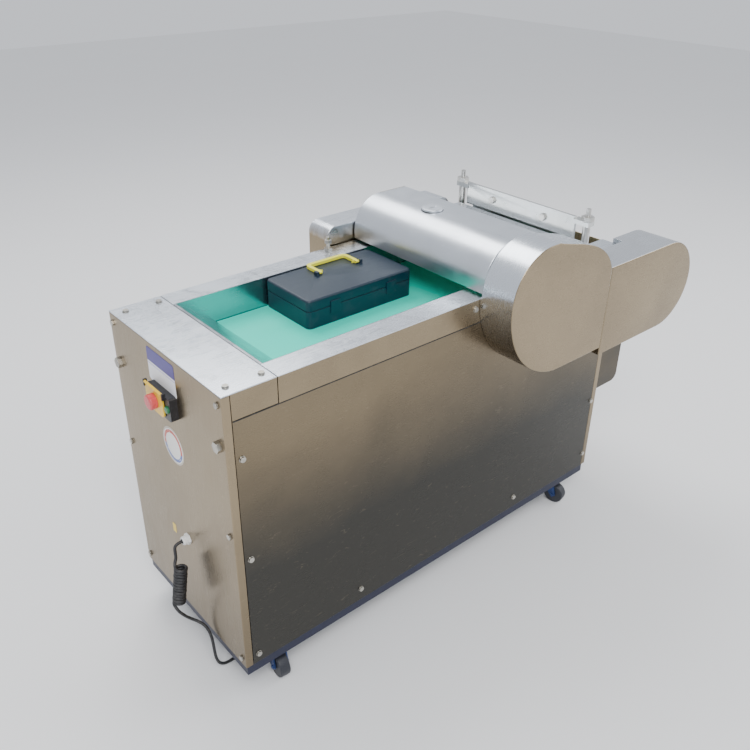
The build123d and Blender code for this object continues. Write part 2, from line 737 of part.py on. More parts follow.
def crank_drive():
    """Overhung crank shaft, its pulley, the connecting rods, the motor and its pulley and belt."""
    with BuildPart() as crank:
        bar_y(post_x, crank_z, (crank_disc_y[0], far - crank_disc_y[0]), crank_shaft_radius)
        for y in (crank_disc_y, mirrored(crank_disc_y)):
            bar_y(post_x, crank_z, y, crank_disc_radius)
        bar_y(post_x, crank_z, chain_y, sprocket_radius)
        for hole in (-1, 1):
            for y in (crank_disc_y, mirrored(crank_disc_y)):
                bar_y(post_x + hole * crank_radius, crank_z, y, 5, Mode.SUBTRACT)
    save(crank, "crank_shaft")
    pulley("driven_pulley", post_x, crank_z, large_pulley_radius, crank_shaft_radius)
    with BuildPart() as rods:
        near_pin = (rod_y[1], crank_disc_y[0] - open_pivot_gap)
        for y, pin in ((rod_y, near_pin), (mirrored(rod_y), mirrored(near_pin))):
            bar_y(post_x, wrist_z, y, rod_eye_radius)
            bar_y(post_x, wrist_z - rod_length, y, rod_eye_radius)
            block((post_x - 9, post_x + 9), y, (wrist_z - rod_length, wrist_z))
            bar_y(post_x, wrist_z, y, pin_radius + running_fit, Mode.SUBTRACT)
            bar_y(post_x, wrist_z - rod_length, pin, pin_radius)
    save(rods, "connecting_rods")
    ends = ((motor_x, motor_z, small_pulley_radius), (post_x, crank_z, large_pulley_radius))
    centre_y = sum(pulley_y) / 2
    with BuildPart() as belt:
        loop_y(ends, (centre_y - v_belt_width / 2, centre_y + v_belt_width / 2), v_belt_height, groove_gap)
    save(belt, "v_belt")
    with BuildPart() as motor:
        bar_y(motor_x, motor_z, (motor_y, motor_y + motor_length), motor_radius)
        fillet(motor.edges(), 6)
        for step in range(12):
            angle = 30.0 * step + 15.0
            with Locations(Location((motor_x, motor_y + motor_length / 2, motor_z), (0, angle, 0))):
                with Locations((motor_radius + 2, 0, 0)):
                    Box(10, motor_length - 50, 3)
        foot_z = (shelf_top, shelf_top + motor_foot)
        block((motor_x - 60, motor_x + 60), (shelf_rail_y[0], far - shelf_rail_y[0]), foot_z)
        foot_y = (motor_y + 20, motor_y + motor_length - 20)
        block((motor_x - 45, motor_x + 45), foot_y, (foot_z[1], motor_z - 40))
        bar_y(motor_x, motor_z, (motor_y - 5, motor_y + 1), 30)
        bar_y(motor_x, motor_z, (motor_y - 6, motor_y + 30), 9 + running_fit, Mode.SUBTRACT)
    save(motor, "motor")
    with BuildPart() as small:
        bar_y(motor_x, motor_z, (pulley_y[0] - 2, motor_y + 28), 9)
        grooved(motor_x, motor_z, small_pulley_radius)
    save(small, "motor_pulley")


def grooved(x, z, radius):
    """A pulley rim with one groove for the belt."""
    centre_y = sum(pulley_y) / 2
    rim = radius + v_belt_height + groove_gap
    half = v_belt_width / 2 + groove_gap
    bar_y(x, z, (pulley_y[0], centre_y - half), rim)
    bar_y(x, z, (centre_y - half, centre_y + half), radius)
    bar_y(x, z, (centre_y + half, pulley_y[1]), rim)


def pulley(name, x, z, radius, bore):
    """A grooved pulley with lightening holes, pressed on its shaft."""
    with BuildPart() as wheel:
        grooved(x, z, radius)
        bar_y(x, z, (pulley_y[0] - 1, pulley_y[1] + 1), bore, Mode.SUBTRACT)
        for step in range(5):
            angle = math.radians(72.0 * step)
            hole_x = x + radius * 0.58 * math.cos(angle)
            hole_z = z + radius * 0.58 * math.sin(angle)
            bar_y(hole_x, hole_z, (pulley_y[0] - 1, pulley_y[1] + 1), radius * 0.19, Mode.SUBTRACT)
    save(wheel, name)


def ratchet_feed():
    """Stroke disc, feed rod and ratchet arm that turn the belt roller a step at each cut."""
    stroke_z = deck - stroke_drop
    with BuildPart() as disc:
        bar_y(stroke_x, stroke_z, (stroke_disc_y[0], chain_y[1]), stroke_shaft_radius)
        bar_y(stroke_x, stroke_z, stroke_disc_y, stroke_disc_radius)
        bar_y(stroke_x, stroke_z, chain_y, sprocket_radius)
        slot_y = (stroke_disc_y[0] - 1, stroke_disc_y[0] + 5)
        slot_z = (stroke_z - stroke_slot[1], stroke_z - stroke_slot[0])
        block((stroke_x - link_pin_radius, stroke_x + link_pin_radius), slot_y, slot_z, Mode.SUBTRACT)
    save(disc, "stroke_disc")
    arm_pin_z = roller_z - arm_length
    with BuildPart() as arm:
        bar_y(drive_x, roller_z, arm_y, 18)
        bar_y(drive_x, arm_pin_z, arm_y, 10)
        block((drive_x - 9, drive_x + 9), arm_y, (arm_pin_z, roller_z))
        bar_y(drive_x, roller_z, arm_y, shaft_radius + running_fit, Mode.SUBTRACT)
        bar_y(drive_x, arm_pin_z, (feed_rod_y[0] - 2, arm_y[0]), link_pin_radius)
        pawl_z = (roller_z - ratchet_radius - 5, roller_z - ratchet_radius - 1)
        block((drive_x - 16, drive_x - 9), arm_y, (pawl_z[0], roller_z - 30))
        block((drive_x - 16, drive_x - 4), (arm_y[1], ratchet_y[1]), pawl_z)
    save(arm, "ratchet_arm")
    reach_x = stroke_x - drive_x
    reach_z = stroke_z - stroke_pin_radius - arm_pin_z
    length = math.hypot(reach_x, reach_z)
    angle = math.degrees(math.atan2(reach_z, reach_x))
    with BuildPart() as rod:
        centre = (drive_x + reach_x / 2, sum(feed_rod_y) / 2, arm_pin_z + reach_z / 2)
        with Locations(Location(centre, (0, -angle, 0))):
            Box(length, feed_rod_y[1] - feed_rod_y[0], 10)
        bar_y(drive_x, arm_pin_z, feed_rod_y, 9)
        bar_y(stroke_x, stroke_z - stroke_pin_radius, feed_rod_y, 9)
        bar_y(drive_x, arm_pin_z, feed_rod_y, link_pin_radius + running_fit, Mode.SUBTRACT)
        pin_y = (feed_rod_y[1], stroke_disc_y[0] - open_pivot_gap)
        bar_y(stroke_x, stroke_z - stroke_pin_radius, pin_y, link_pin_radius)
    save(rod, "feed_rod")


def rollers():
    """Belt rollers with their shafts, the ratchet wheel and the roller of the press belt."""
    inner = (wall_y + sheet + 2, far - wall_y - sheet - 2)
    with BuildPart() as drive:
        bar_y(drive_x, roller_z, inner, roller_radius)
        bar_y(drive_x, roller_z, (arm_y[0], far - post_y), shaft_radius)
        ratchet_face = Plane(origin=(drive_x, ratchet_y[1], roller_z), x_dir=(1, 0, 0), z_dir=(0, -1, 0))
        with BuildSketch(ratchet_face) as teeth:
            Circle(ratchet_radius - 5)
            with PolarLocations(ratchet_radius - 5.5, ratchet_teeth):
                Polygon((0, -4.6), (5.5, -4.6), (0, 4.6), align=None)
        extrude(teeth.sketch, amount=ratchet_y[1] - ratchet_y[0])
    save(drive, "drive_roller")
    with BuildPart() as idler:
        bar_y(idler_x, roller_z, inner, roller_radius)
        bar_y(idler_x, roller_z, (post_y, far - post_y), shaft_radius)
    save(idler, "idler_roller")
    press_y = (wall_y + 12, far - wall_y - 12)
    press_z = deck + press_height
    with BuildPart() as press:
        bar_y(press_x, press_z, press_y, press_roller_radius)
        bar_y(press_x, press_z, (wall_y + 2, far - wall_y - 2), press_shaft_radius)
    save(press, "press_roller")
    ends = ((press_x, press_z, press_roller_radius), (nose_x, deck + nose_height, nose_radius))
    with BuildPart() as belt:
        loop_y(ends, (press_y[0] + 1, press_y[1] - 1), 3, belt_running_gap)
    save(belt, "press_belt")
    arm_plates = ((wall_y + 4, wall_y + 8), (far - wall_y - 8, far - wall_y - 4))
    with BuildPart() as frame:
        for y in arm_plates:
            with BuildSketch(side_plane(y[1])) as arm:
                with BuildSketch(mode=Mode.PRIVATE) as hull:
                    with Locations((press_x, press_height)):
                        Circle(16)
                    with Locations((nose_x, nose_height)):
                        Circle(12)
                    make_hull()
                add(hull.sketch)
            extrude(arm.sketch, amount=y[1] - y[0])
            block((press_x + 20, press_x + 45), y, (deck + press_height - 5, deck + hood_top - sheet))
        bar_y(nose_x, deck + nose_height, (arm_plates[0][0], arm_plates[1][1]), nose_radius - 1)
        bar_y(press_x, press_z, (0, far), press_shaft_radius + running_fit, Mode.SUBTRACT)
    save(frame, "press_frame")
    with BuildPart() as chain:
        pair = ((post_x, crank_z, sprocket_radius), (stroke_x, deck - stroke_drop, sprocket_radius))
        loop_y(pair, chain_y, chain_height, groove_gap)
    save(chain, "stroke_chain")


def bearings():
    """Blocks that carry the rollers, the stroke shaft and the crank shaft."""
    with BuildPart() as blocks:
        for x in (idler_x, drive_x):
            near_block_y = (bearing_rail_y[0] - 14, bearing_rail_y[0])
            for y in (near_block_y, mirrored(near_block_y)):
                block((x - 24, x + 24), y, (roller_z - 20, roller_z + 20))
                bar_y(x, roller_z, y, shaft_radius + running_fit, Mode.SUBTRACT)
        stroke_block_y = (8, 30)
        edge = corner_x[1][0]
        block((stroke_x - 20, edge), stroke_block_y, (deck - stroke_drop - 20, deck - stroke_drop + 20))
        bar_y(stroke_x, deck - stroke_drop, stroke_block_y, stroke_shaft_radius + running_fit, Mode.SUBTRACT)
        for y in (shelf_rail_y, mirrored(shelf_rail_y)):
            block((post_x - 45, post_x + 45), y, (shelf_top, shelf_top + 12))
            bar_y(post_x, crank_z, y, 24)
            block((post_x - 24, post_x + 24), y, (shelf_top + 5, crank_z))
            bar_y(post_x, crank_z, y, crank_shaft_radius + running_fit, Mode.SUBTRACT)
    save(blocks, "bearing_blocks")


def castors():
    """Four swivel castors: a fork that turns under its plate and a wheel on the fork's axle."""
    names = ("near_front", "near_rear", "far_front", "far_rear")
    for name, place, heading in zip(names, castor_places, castor_headings):
        x, y = place
        base = Plane(origin=(x, y, 0), x_dir=Vector(1, 0, 0).rotate(Axis.Z, heading), z_dir=(0, 0, 1))
        top = castor_height - 3 - 0.5
        with BuildPart() as fork:
            with BuildSketch(base.offset(top - 5)) as crown:
                Circle(24)
            extrude(crown.sketch, amount=5)
            for side in (-1, 1):
                offset_y = side * (wheel_width / 2 + 3)
                with BuildSketch(base.offset(top - 7)) as shoulder:
                    with Locations((6, offset_y)):
                        Rectangle(32, 3)
                extrude(shoulder.sketch, amount=3)
                cheek_plane = Plane(
                    origin=base.from_local_coords((0, offset_y - 1.5, 0)), x_dir=base.x_dir, z_dir=-base.y_dir
                )
                with BuildSketch(cheek_plane) as cheek:
                    with BuildLine():
                        Polyline(
                            (-10, top - 4),
                            (22, top - 4),
                            (castor_trail + 8, wheel_radius),
                            (castor_trail, wheel_radius - 8),
                            (castor_trail - 8, wheel_radius),
                            close=True,
                        )
                    make_face()
                extrude(cheek.sketch, amount=-3)
            axle_plane = Plane(
                origin=base.from_local_coords((castor_trail, -wheel_width / 2 - 7, wheel_radius)),
                x_dir=base.x_dir,
                z_dir=base.y_dir,
            )
            with BuildSketch(axle_plane) as axle:
                Circle(axle_radius)
            extrude(axle.sketch, amount=wheel_width + 14)
        save(fork, f"castor_fork_{name}")
        with BuildPart() as wheel:
            middle = base.from_local_coords((castor_trail, -wheel_width / 2, wheel_radius))
            with BuildSketch(Plane(origin=middle, x_dir=base.x_dir, z_dir=base.y_dir)) as disc:
                Circle(wheel_radius)
                Circle(axle_radius + running_fit, mode=Mode.SUBTRACT)
            extrude(disc.sketch, amount=wheel_width)
            rims = wheel.edges().filter_by(GeomType.CIRCLE).filter_by(lambda e: e.radius > wheel_radius - 1)
            fillet(rims, 3)
        save(wheel, f"castor_wheel_{name}")


def switch():
    """Push switch: the base with its hinge ears, the flap with the stop knob, the start button."""
    base_z = (deck - switch_z[0], deck - switch_z[1])
    hinge_z = base_z[1] + hinge_radius
    with BuildPart() as base:
        block((-switch_depth, 0), switch_y, base_z)
        fillet(base.edges().filter_by(Axis.X), 5)
        for y in ((flap_y[0] - 4, flap_y[0] - 0.6), (flap_y[1] + 0.6, flap_y[1] + 4)):
            block((hinge_x - 2, -switch_depth + 1), y, (base_z[1] - 6, hinge_z + 3))
        bar_y(hinge_x, hinge_z, (flap_y[0] - 2, flap_y[1] + 2), hinge_pin_radius)
        bar_x(start_y, deck - 93, (-switch_depth - 1, -switch_depth + 8), start_radius + 0.3, Mode.SUBTRACT)
    save(base, "switch_base")
    plate_outer = -switch_depth - flap_gap
    with BuildPart() as flap:
        block((plate_outer - flap_thickness, plate_outer), flap_y, (hinge_z - flap_drop, hinge_z))
        fillet(flap.edges().filter_by(Axis.X).group_by(Axis.Z)[0], 8)
        bar_y(hinge_x, hinge_z, flap_y, hinge_radius - 0.5)
        bar_y(hinge_x, hinge_z, flap_y, hinge_pin_radius + running_fit, Mode.SUBTRACT)
    save(flap, "switch_flap")
    with BuildPart() as knob:
        knob_x = (plate_outer - flap_thickness - knob_reach, plate_outer - flap_thickness)
        bar_x(sum(flap_y) / 2, deck - 92, knob_x, knob_radius)
        fillet(knob.edges().group_by(Axis.X)[0], 3)
    save(knob, "stop_knob")
    with BuildPart() as button:
        bar_x(start_y, deck - 93, (-switch_depth - 4, -switch_depth + 5), start_radius)
        fillet(button.edges().group_by(Axis.X)[0], 1.5)
    save(button, "start_button")


def tool_case():
    """A moulded tool case lying in the trough, with a bail handle folded flat on its lid."""
    bottom = belt_top + lift_gap
    top = bottom + case_height
    with BuildPart() as case:
        block(case_x, case_y, (bottom, top))
        fillet(case.edges().filter_by(Axis.Z), 10)
        fillet(case.faces().sort_by(Axis.Z)[-1].edges(), 4)
        seam_z = (bottom + case_height * 0.6, bottom + case_height * 0.6 + 2)
        with BuildSketch(Plane.XY.offset(seam_z[0])) as groove:
            with Locations((sum(case_x) / 2, sum(case_y) / 2)):
                RectangleRounded(case_x[1] - case_x[0] + 2, case_y[1] - case_y[0] + 2, 11)
                inside = (case_x[1] - case_x[0] - 3, case_y[1] - case_y[0] - 3)
                RectangleRounded(*inside, 8.5, mode=Mode.SUBTRACT)
        extrude(groove.sketch, amount=seam_z[1] - seam_z[0], mode=Mode.SUBTRACT)
        for x in ((handle_x[0] - 7, handle_x[0] - 0.5), (handle_x[1] + 0.5, handle_x[1] + 7)):
            block(x, (handle_y[0] - 5, handle_y[0] + 5), (top - 1, top + handle_thickness + 2))
            reach = (x[0] + 1, x[1] + 5) if x[0] < handle_x[0] else (x[0] - 5, x[1] - 1)
            bar_x(handle_y[0], top + handle_thickness / 2 + 1, reach, handle_pin_radius)
    save(case, "tool_case")
    with BuildPart() as handle:
        with BuildSketch(Plane.XY.offset(top + 1)) as strap:
            with Locations((sum(handle_x) / 2, (handle_y[0] + handle_y[1]) / 2)):
                size_x = handle_x[1] - handle_x[0]
                size_y = handle_y[1] - handle_y[0] + handle_width
                inside = (size_x - 2 * handle_width, size_y - 2 * handle_width)
                RectangleRounded(size_x, size_y, 12)
                RectangleRounded(*inside, 6, mode=Mode.SUBTRACT)
            with Locations((sum(handle_x) / 2, handle_y[0] - 5)):
                Rectangle(inside[0], 18, mode=Mode.SUBTRACT)
            with Locations((sum(handle_x) / 2, handle_y[0] - 10)):
                Rectangle(size_x + 2, 20, mode=Mode.SUBTRACT)
        extrude(strap.sketch, amount=handle_thickness)
        for x in ((handle_x[0], handle_x[0] + handle_width), (handle_x[1] - handle_width, handle_x[1])):
            bar_x(handle_y[0], top + handle_thickness / 2 + 1, x, handle_thickness / 2)
        bore = (handle_x[0] - 1, handle_x[1] + 1)
        pin_z = top + handle_thickness / 2 + 1
        bar_x(handle_y[0], pin_z, bore, handle_pin_radius + running_fit, Mode.SUBTRACT)
    save(handle, "case_handle")


# The cord's own route, chosen by hand: out of the gland, down to the hank, and on to the plug.
gland_z = deck - gland_drop
hank_top = (-30.0, 158.0, deck - 427)
hank_bottom = (-43.0, 161.0, deck - 518)
hank_radius = 13.5
hank_run = 12.0
hank_axis = (Vector(*hank_bottom) - Vector(*hank_top)).normalized()
hank_entry = tuple(Vector(*hank_top) - hank_axis * hank_run)
hank_exit = tuple(Vector(*hank_bottom) + hank_axis * hank_run)
upper_route = [
    (-gland_reach, gland_y, gland_z),
    (-24, gland_y, gland_z),
    (-30, 170, gland_z - 7),
    (-30, 162, gland_z - 15),
    hank_entry,
    hank_top,
]
tail_route = [
    hank_bottom,
    hank_exit,
    (-42, 157, 129),
    (-32, 149, 119),
    (-20, 139, 112),
    (-11, 128, 103),
    (-8, 117, 90),
    (-9, 108, 74),
    (-11, 102, 56),
    (-10, 100, 37),
    (-5, 100, 20),
    (6, 101, 9),
    (22, 103, 4.1),
    (42, 107, 3.4),
    (62, 113, 3.3),
    (80, 122, 5.0),
    (92, 131, 8.5),
    (103, 138, 12),
]
plug_radius = 12.0


def cord_tube(route, name):
    """A round cord along straight runs joined by arcs, with each arc as large as its runs allow."""
    points = [Vector(*point) for point in route]
    radii = []
    for before, point, after in zip(points, points[1:], points[2:]):
        turn = (point - before).get_angle(after - point)
        shorter = min((point - before).length, (after - point).length)
        radii.append(0.45 * shorter / math.tan(math.radians(turn / 2)))
    print(name, "radii", [round(radius, 1) for radius in radii])
    with BuildPart() as tube_part:
        with BuildLine() as path:
            FilletPolyline(*points, radius=radii)
        with BuildSketch(Plane(origin=path.line @ 0, z_dir=path.line % 0)):
            Circle(cord_radius)
        sweep(path=path.line)
    share = tube_part.part.volume / (path.wires()[0].length * math.pi * cord_radius**2)
    print(name, "volume share", round(share, 4))
    save(tube_part, name)


def cord():
    """Gland, cord, its wound hank, its tail and the plug on the floor."""
    with BuildPart() as gland:
        bar_x(gland_y, gland_z, (-gland_reach, 0), gland_radius * 0.7)
        hexagon_x(gland_y, gland_z, (-5, 0), gland_radius)
        bar_x(gland_y, gland_z, (-gland_reach + 2, -6), gland_radius * 0.85)
    save(gland, "cable_gland")
    cord_tube(upper_route, "power_cord")
    cord_tube(tail_route, "cord_tail")
    axis = Vector(*hank_bottom) - Vector(*hank_top)
    with BuildPart() as hank:
        with BuildSketch(Plane(origin=hank_top, z_dir=axis)) as section:
            Circle(hank_radius)
        extrude(section.sketch, amount=axis.length)
        fillet(hank.edges(), 4)
    save(hank, "cord_hank")
    end = Vector(*tail_route[-1])
    forward = (end - Vector(*tail_route[-2])).normalized()
    level = Vector(forward.X, forward.Y, 0).normalized()
    with BuildPart() as plug:
        with BuildSketch(Plane(origin=end, z_dir=forward)) as neck:
            Circle(5)
        extrude(neck.sketch, amount=12)
        start = end + forward * 8
        with BuildSketch(Plane(origin=(start.X, start.Y, plug_radius + 0.2), z_dir=level)) as body:
            Circle(plug_radius)
        extrude(body.sketch, amount=30)
        fillet(plug.edges().sort_by(Axis(origin=tuple(start), direction=tuple(level)))[-1], 2)
        for side in (-1, 1):
            across = Vector(-level.Y, level.X, 0) * 5.5 * side
            root = start + level * 29 + across
            with BuildSketch(Plane(origin=(root.X, root.Y, plug_radius + 0.2), z_dir=level)) as pin:
                Circle(2.2)
            extrude(pin.sketch, amount=20)
    save(plug, "plug")


def fasteners():
    """Panel screws, take-up bolts of the idler roller and the latch bolt on the far strip."""
    with BuildPart() as screws:
        for y in (13.0, far - 13.0):
            for drop in (19.0, 276.0, panel_height - 18.0):
                hexagon_x(y, deck - drop, (-4, 0), 5)
        for x in (22.0, 87.0):
            for y in (23.0, far - 23.0):
                hexagon_z(x, y, (deck, deck + 3.5), 5)
        rear_row = cabinet_length - 18.0
        side_places = (
            (28.0, 124.0),
            (28.0, 333.0),
            (28.0, panel_height - 21.0),
            (270.0, panel_height - 29.0),
            (cabinet_length - 274.0, panel_height - 29.0),
            (rear_row, 392.0),
            (rear_row, panel_height - 37.0),
            (near_guard_x[0] - 10.0, 19.0),
        )
        for x, drop in side_places:
            for y in ((-3.5, 0), (far, far + 3.5)):
                bar_y(x, deck - drop, y, 5)
        for y in take_up_y:
            hexagon_x(y, roller_z, (-8, 0), 9)
            bar_x(y, roller_z, (0, idler_x - 24), take_up_radius)
        latch_x, latch_y = far_guard_x[0] - 9.0, far - 12.0
        hexagon_z(latch_x, latch_y, (deck, deck + 6), 8)
        bar_z(latch_x, latch_y, (deck + 6, deck + 30), 4)
        hexagon_z(latch_x, latch_y, (deck + 16, deck + 23), 7)
    save(screws, "cover_screws")


base_frame()
cabinet()
deck_sheets()
trough()
hood()
near_guard()
stroke_guard()
far_guard()
chute()
knife()
knife_guides()
crank_drive()
ratchet_feed()
rollers()
bearings()
castors()
switch()
tool_case()
cord()
fasteners()
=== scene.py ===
"""Vegetable slicing machine: the finished surfaces, cord, labels and stage around its frame."""
import json
import math

import bmesh
import bpy
import numpy as np
from mathutils import Matrix, Vector


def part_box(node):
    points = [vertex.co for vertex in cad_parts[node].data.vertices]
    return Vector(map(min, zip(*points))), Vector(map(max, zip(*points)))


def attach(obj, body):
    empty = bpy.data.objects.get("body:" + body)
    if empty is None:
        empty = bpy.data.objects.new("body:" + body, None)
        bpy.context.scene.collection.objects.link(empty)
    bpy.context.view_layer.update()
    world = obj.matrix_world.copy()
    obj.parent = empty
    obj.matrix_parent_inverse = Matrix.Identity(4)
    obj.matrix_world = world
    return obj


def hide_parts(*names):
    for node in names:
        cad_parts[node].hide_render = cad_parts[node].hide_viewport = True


bl_info = {
    "name": "Vegetable Slicing Machine",
    "version": (1, 0, 0),
    "blender": (4, 5, 0),
    "location": "View3D > Sidebar > Slicer",
    "description": "Builds the surfaces of a belt-fed vegetable slicing machine",
    "category": "Object",
}

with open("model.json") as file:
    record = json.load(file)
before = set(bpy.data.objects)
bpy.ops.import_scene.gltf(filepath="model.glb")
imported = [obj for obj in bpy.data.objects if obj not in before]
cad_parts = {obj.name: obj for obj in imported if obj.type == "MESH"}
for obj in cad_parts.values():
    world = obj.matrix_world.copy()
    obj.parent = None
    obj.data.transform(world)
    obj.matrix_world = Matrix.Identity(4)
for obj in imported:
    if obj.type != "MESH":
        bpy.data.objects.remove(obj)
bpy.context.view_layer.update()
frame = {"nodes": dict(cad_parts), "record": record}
end_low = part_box("front_end_panel")[0]
deck_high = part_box("deck_end_plate")[1]
BODY_OF = {node: body for body, nodes in frame["record"]["behaviour"]["bodies"].items() for node in nodes}

# Depth of a sheet's outer face in the tests of its finish, and how near two corners are to be one.
SKIN = 0.0012
WELD = 1e-5

# Stretches of the brushed grain: the small number is the way the streaks run.
LENGTHWISE = (0.5, 1.0, 14.0)
CROSSWISE = (14.0, 0.5, 14.0)
UPRIGHT = (1.0, 14.0, 0.5)
FOLD_GRAIN = (0.7, 14.0, 3.0)
BLADE_GRAIN = (14.0, 0.5, 1.0)

# Places of the visual pieces in millimetres, as at() takes them. The screws are (x, y) on the deck and
# (x, z) on the near side.
HEADER_Y = (149, 244)
HEADER_Z = (-75, -11)
HEADER_SPLIT_Z = -38
STICKER_CENTRE = (187, -187)
PATCH_Y = (225, 237)
PATCH_Z = (-410, -390)
GLAND_CENTRE = (175, -389)
HOOD_WELD_X = (637, 710)
HOOD_WELD_Z = 94.1
DECK_SCREWS = [(x, y) for y in (23, 363) for x in (22, 87)]
SIDE_SCREWS = [
    (28, -124),
    (28, -333),
    (28, -561),
    (270, -553),
    (726, -553),
    (982, -392),
    (982, -545),
    (547, -19),
]
LATCH_X = (352, 492)
LATCH_WIDTH = 24
LATCH_Y = (190.2, 192.4)
LATCH_Z = (-40, -14)


def at(x, y, z):
    """A point given in millimetres from the switch end, the near side and the deck."""
    return Vector((end_low.x + x / 1000, end_low.y + y / 1000, deck_high.z + z / 1000))


def tint(colour, share, lift=0.0):
    """A colour times share plus lift, no brighter than white."""
    return tuple(min(1.0, part * share + lift) for part in colour)


class Value:
    """A shader number that grows Math nodes when Python operators are used on it."""

    def __init__(self, tree, socket):
        self.tree = tree
        self.socket = socket

    def maths(self, operation, *others, clamp=False):
        """A Math node on the others, numbers or Values, in their order."""
        node = self.tree.nodes.new("ShaderNodeMath")
        node.operation = operation
        node.use_clamp = clamp
        for place, item in zip(node.inputs, others):
            if isinstance(item, Value):
                self.tree.links.new(item.socket, place)
            else:
                place.default_value = item
        return Value(self.tree, node.outputs[0])

    def __add__(self, other):
        return self.maths("ADD", self, other)

    def __radd__(self, other):
        return self.maths("ADD", other, self)

    def __sub__(self, other):
        return self.maths("SUBTRACT", self, other)

    def __rsub__(self, other):
        return self.maths("SUBTRACT", other, self)

    def __mul__(self, other):
        return self.maths("MULTIPLY", self, other)

    def __gt__(self, other):
        return self.maths("GREATER_THAN", self, other)

    def __lt__(self, other):
        return self.maths("LESS_THAN", self, other)

    def power(self, exponent):
        return self.maths("POWER", self, exponent, clamp=True)

    def sine(self):
        return self.maths("SINE", self)

    def absolute(self):
        return self.maths("ABSOLUTE", self)


class Finish:
    """A procedural material: one surface shader and the nodes that feed it."""

    def __init__(self, name):
        self.material = bpy.data.materials.new(name)
        self.material.use_nodes = True
        self.tree = self.material.node_tree
        self.shader = self.tree.nodes["Principled BSDF"]

    def node(self, kind, settings=None, **sockets):
        """Adds a node, sets its settings first and then its sockets."""
        node = self.tree.nodes.new(kind)
        for key, value in (settings or {}).items():
            setattr(node, key, value)
        for key, value in sockets.items():
            self.put(node.inputs[key.replace("_", " ")], value)
        return node

    def put(self, place, value):
        """Links a value or socket to a place, or sets the place's own number or colour."""
        if isinstance(value, Value):
            self.tree.links.new(value.socket, place)
        elif isinstance(value, bpy.types.NodeSocket):
            self.tree.links.new(value, place)
        else:
            place.default_value = value

    def coordinate(self, stretch=(1, 1, 1)):
        source = self.node("ShaderNodeTexCoord").outputs["Object"]
        return self.node("ShaderNodeMapping", Vector=source, Scale=stretch).outputs[0]

    def noise(self, scale, detail=3.0, roughness=0.55, stretch=(1, 1, 1), distortion=0.0):
        """Cloudy noise from 0 to 1, with its coordinates stretched first."""
        node = self.node(
            "ShaderNodeTexNoise",
            Vector=self.coordinate(stretch),
            Scale=scale,
            Detail=detail,
            Roughness=roughness,
            Distortion=distortion,
        )
        return Value(self.tree, node.outputs["Fac"])

    def cells(self, scale):
        """Distance to the nearest of a cloud of points, as a leather-like grain."""
        node = self.node("ShaderNodeTexVoronoi", Vector=self.coordinate(), Scale=scale)
        return Value(self.tree, node.outputs["Distance"])

    def axis(self, letter):
        """One Object coordinate, which is the place in metres."""
        node = self.node("ShaderNodeSeparateXYZ", Vector=self.coordinate())
        return Value(self.tree, node.outputs[letter])

    def spread(self, value, low, high):
        """Maps low to 0 and high to 1, clamped between them."""
        node = self.node("ShaderNodeMapRange", {"clamp": True})
        for key, item in zip(("Value", "From Min", "From Max"), (value, low, high)):
            self.put(node.inputs[key], item)
        return Value(self.tree, node.outputs["Result"])

    def mix(self, factor, first, second):
        """A colour that goes from first to second as factor goes from 0 to 1."""
        node = self.tree.nodes.new("ShaderNodeMix")
        node.data_type = "RGBA"
        self.put(node.inputs["Factor"], factor)
        self.put(node.inputs[6], (*first, 1.0) if isinstance(first, tuple) else first)
        self.put(node.inputs[7], (*second, 1.0) if isinstance(second, tuple) else second)
        return node.outputs[2]

    def bump(self, height, strength, distance):
        node = self.node("ShaderNodeBump", Height=height, Strength=strength, Distance=distance)
        self.put(self.shader.inputs["Normal"], node.outputs[0])

    def surface(self, **sockets):
        for key, value in sockets.items():
            if isinstance(value, tuple) and len(value) == 3:
                value = (*value, 1.0)
            self.put(self.shader.inputs[key.replace("_", " ")], value)
        return self.material


def brushed_steel(name, light, dark, grain, roughness=0.3, wear=0.12, low=None, heights=(0.30, 0.58)):
    """Stainless sheet: brushed streaks, soft smudges and faint rubs, with painted shade in the low colour
    below heights.
    """
    steel = Finish(name)
    streaks = steel.noise(38.0, 5.0, 0.6, grain)
    fine = steel.noise(160.0, 3.0, 0.6, grain)
    clouds = steel.noise(4.5, 4.0, 0.55, distortion=0.4)
    smears = steel.noise(13.0, 5.0, 0.7, (1.0, 1.0, 0.35), 1.2)
    tone = steel.spread(clouds * 0.8 + smears * 0.2, 0.32, 0.68)
    colour = steel.mix(tone, dark, light)
    # Painted shade: between heights the colour falls to low, and below them it is low.
    if low:
        lift = steel.spread(steel.axis("Z") + (clouds - 0.5) * 0.12, *heights)
        colour = steel.mix(lift, low, colour)
    rub = steel.spread(steel.noise(75.0, 2.0, 0.4, (0.6, 0.6, 2.0), 1.5), 0.66, 0.74)
    colour = steel.mix(rub * wear, colour, tint(light, 1.5, 0.05))
    rough = roughness + (streaks - 0.5) * 0.24 + (smears - 0.5) * 0.22
    steel.bump(streaks * 0.5 + fine * 0.5, 0.06, 0.0004)
    return steel.surface(Base_Color=colour, Metallic=1.0, Roughness=rough)


def folded_steel(name, face, edge, test, heights, edge_low, roughness=0.28):
    """Folded sheet with a flat face, and an edge where test holds that goes from edge_low up to edge. The
    face is painted shade, and the edge is a painted sky reflection that darkens into painted shade lower
    down.
    """
    steel = Finish(name)
    streaks = steel.noise(38.0, 5.0, 0.6, FOLD_GRAIN)
    clouds = steel.noise(5.0, 4.0, 0.55, distortion=0.5)
    smears = steel.noise(15.0, 5.0, 0.7, (1.0, 1.0, 0.35), 1.2)
    deep = tint(face, 0.80)
    flat = steel.mix(steel.spread(clouds * 0.8 + smears * 0.2, 0.34, 0.66), deep, face)
    # Painted reflection and shade: the edge colour falls from edge to edge_low lower down.
    lift = steel.spread(steel.axis("Z") + (smears - 0.5) * 0.03, *heights)
    rim = steel.mix(lift, edge_low, edge)
    steel.bump(streaks, 0.05, 0.0004)
    rough = roughness + (streaks - 0.5) * 0.20 + (smears - 0.5) * 0.18
    return steel.surface(Base_Color=steel.mix(test(steel), flat, rim), Metallic=1.0, Roughness=rough)


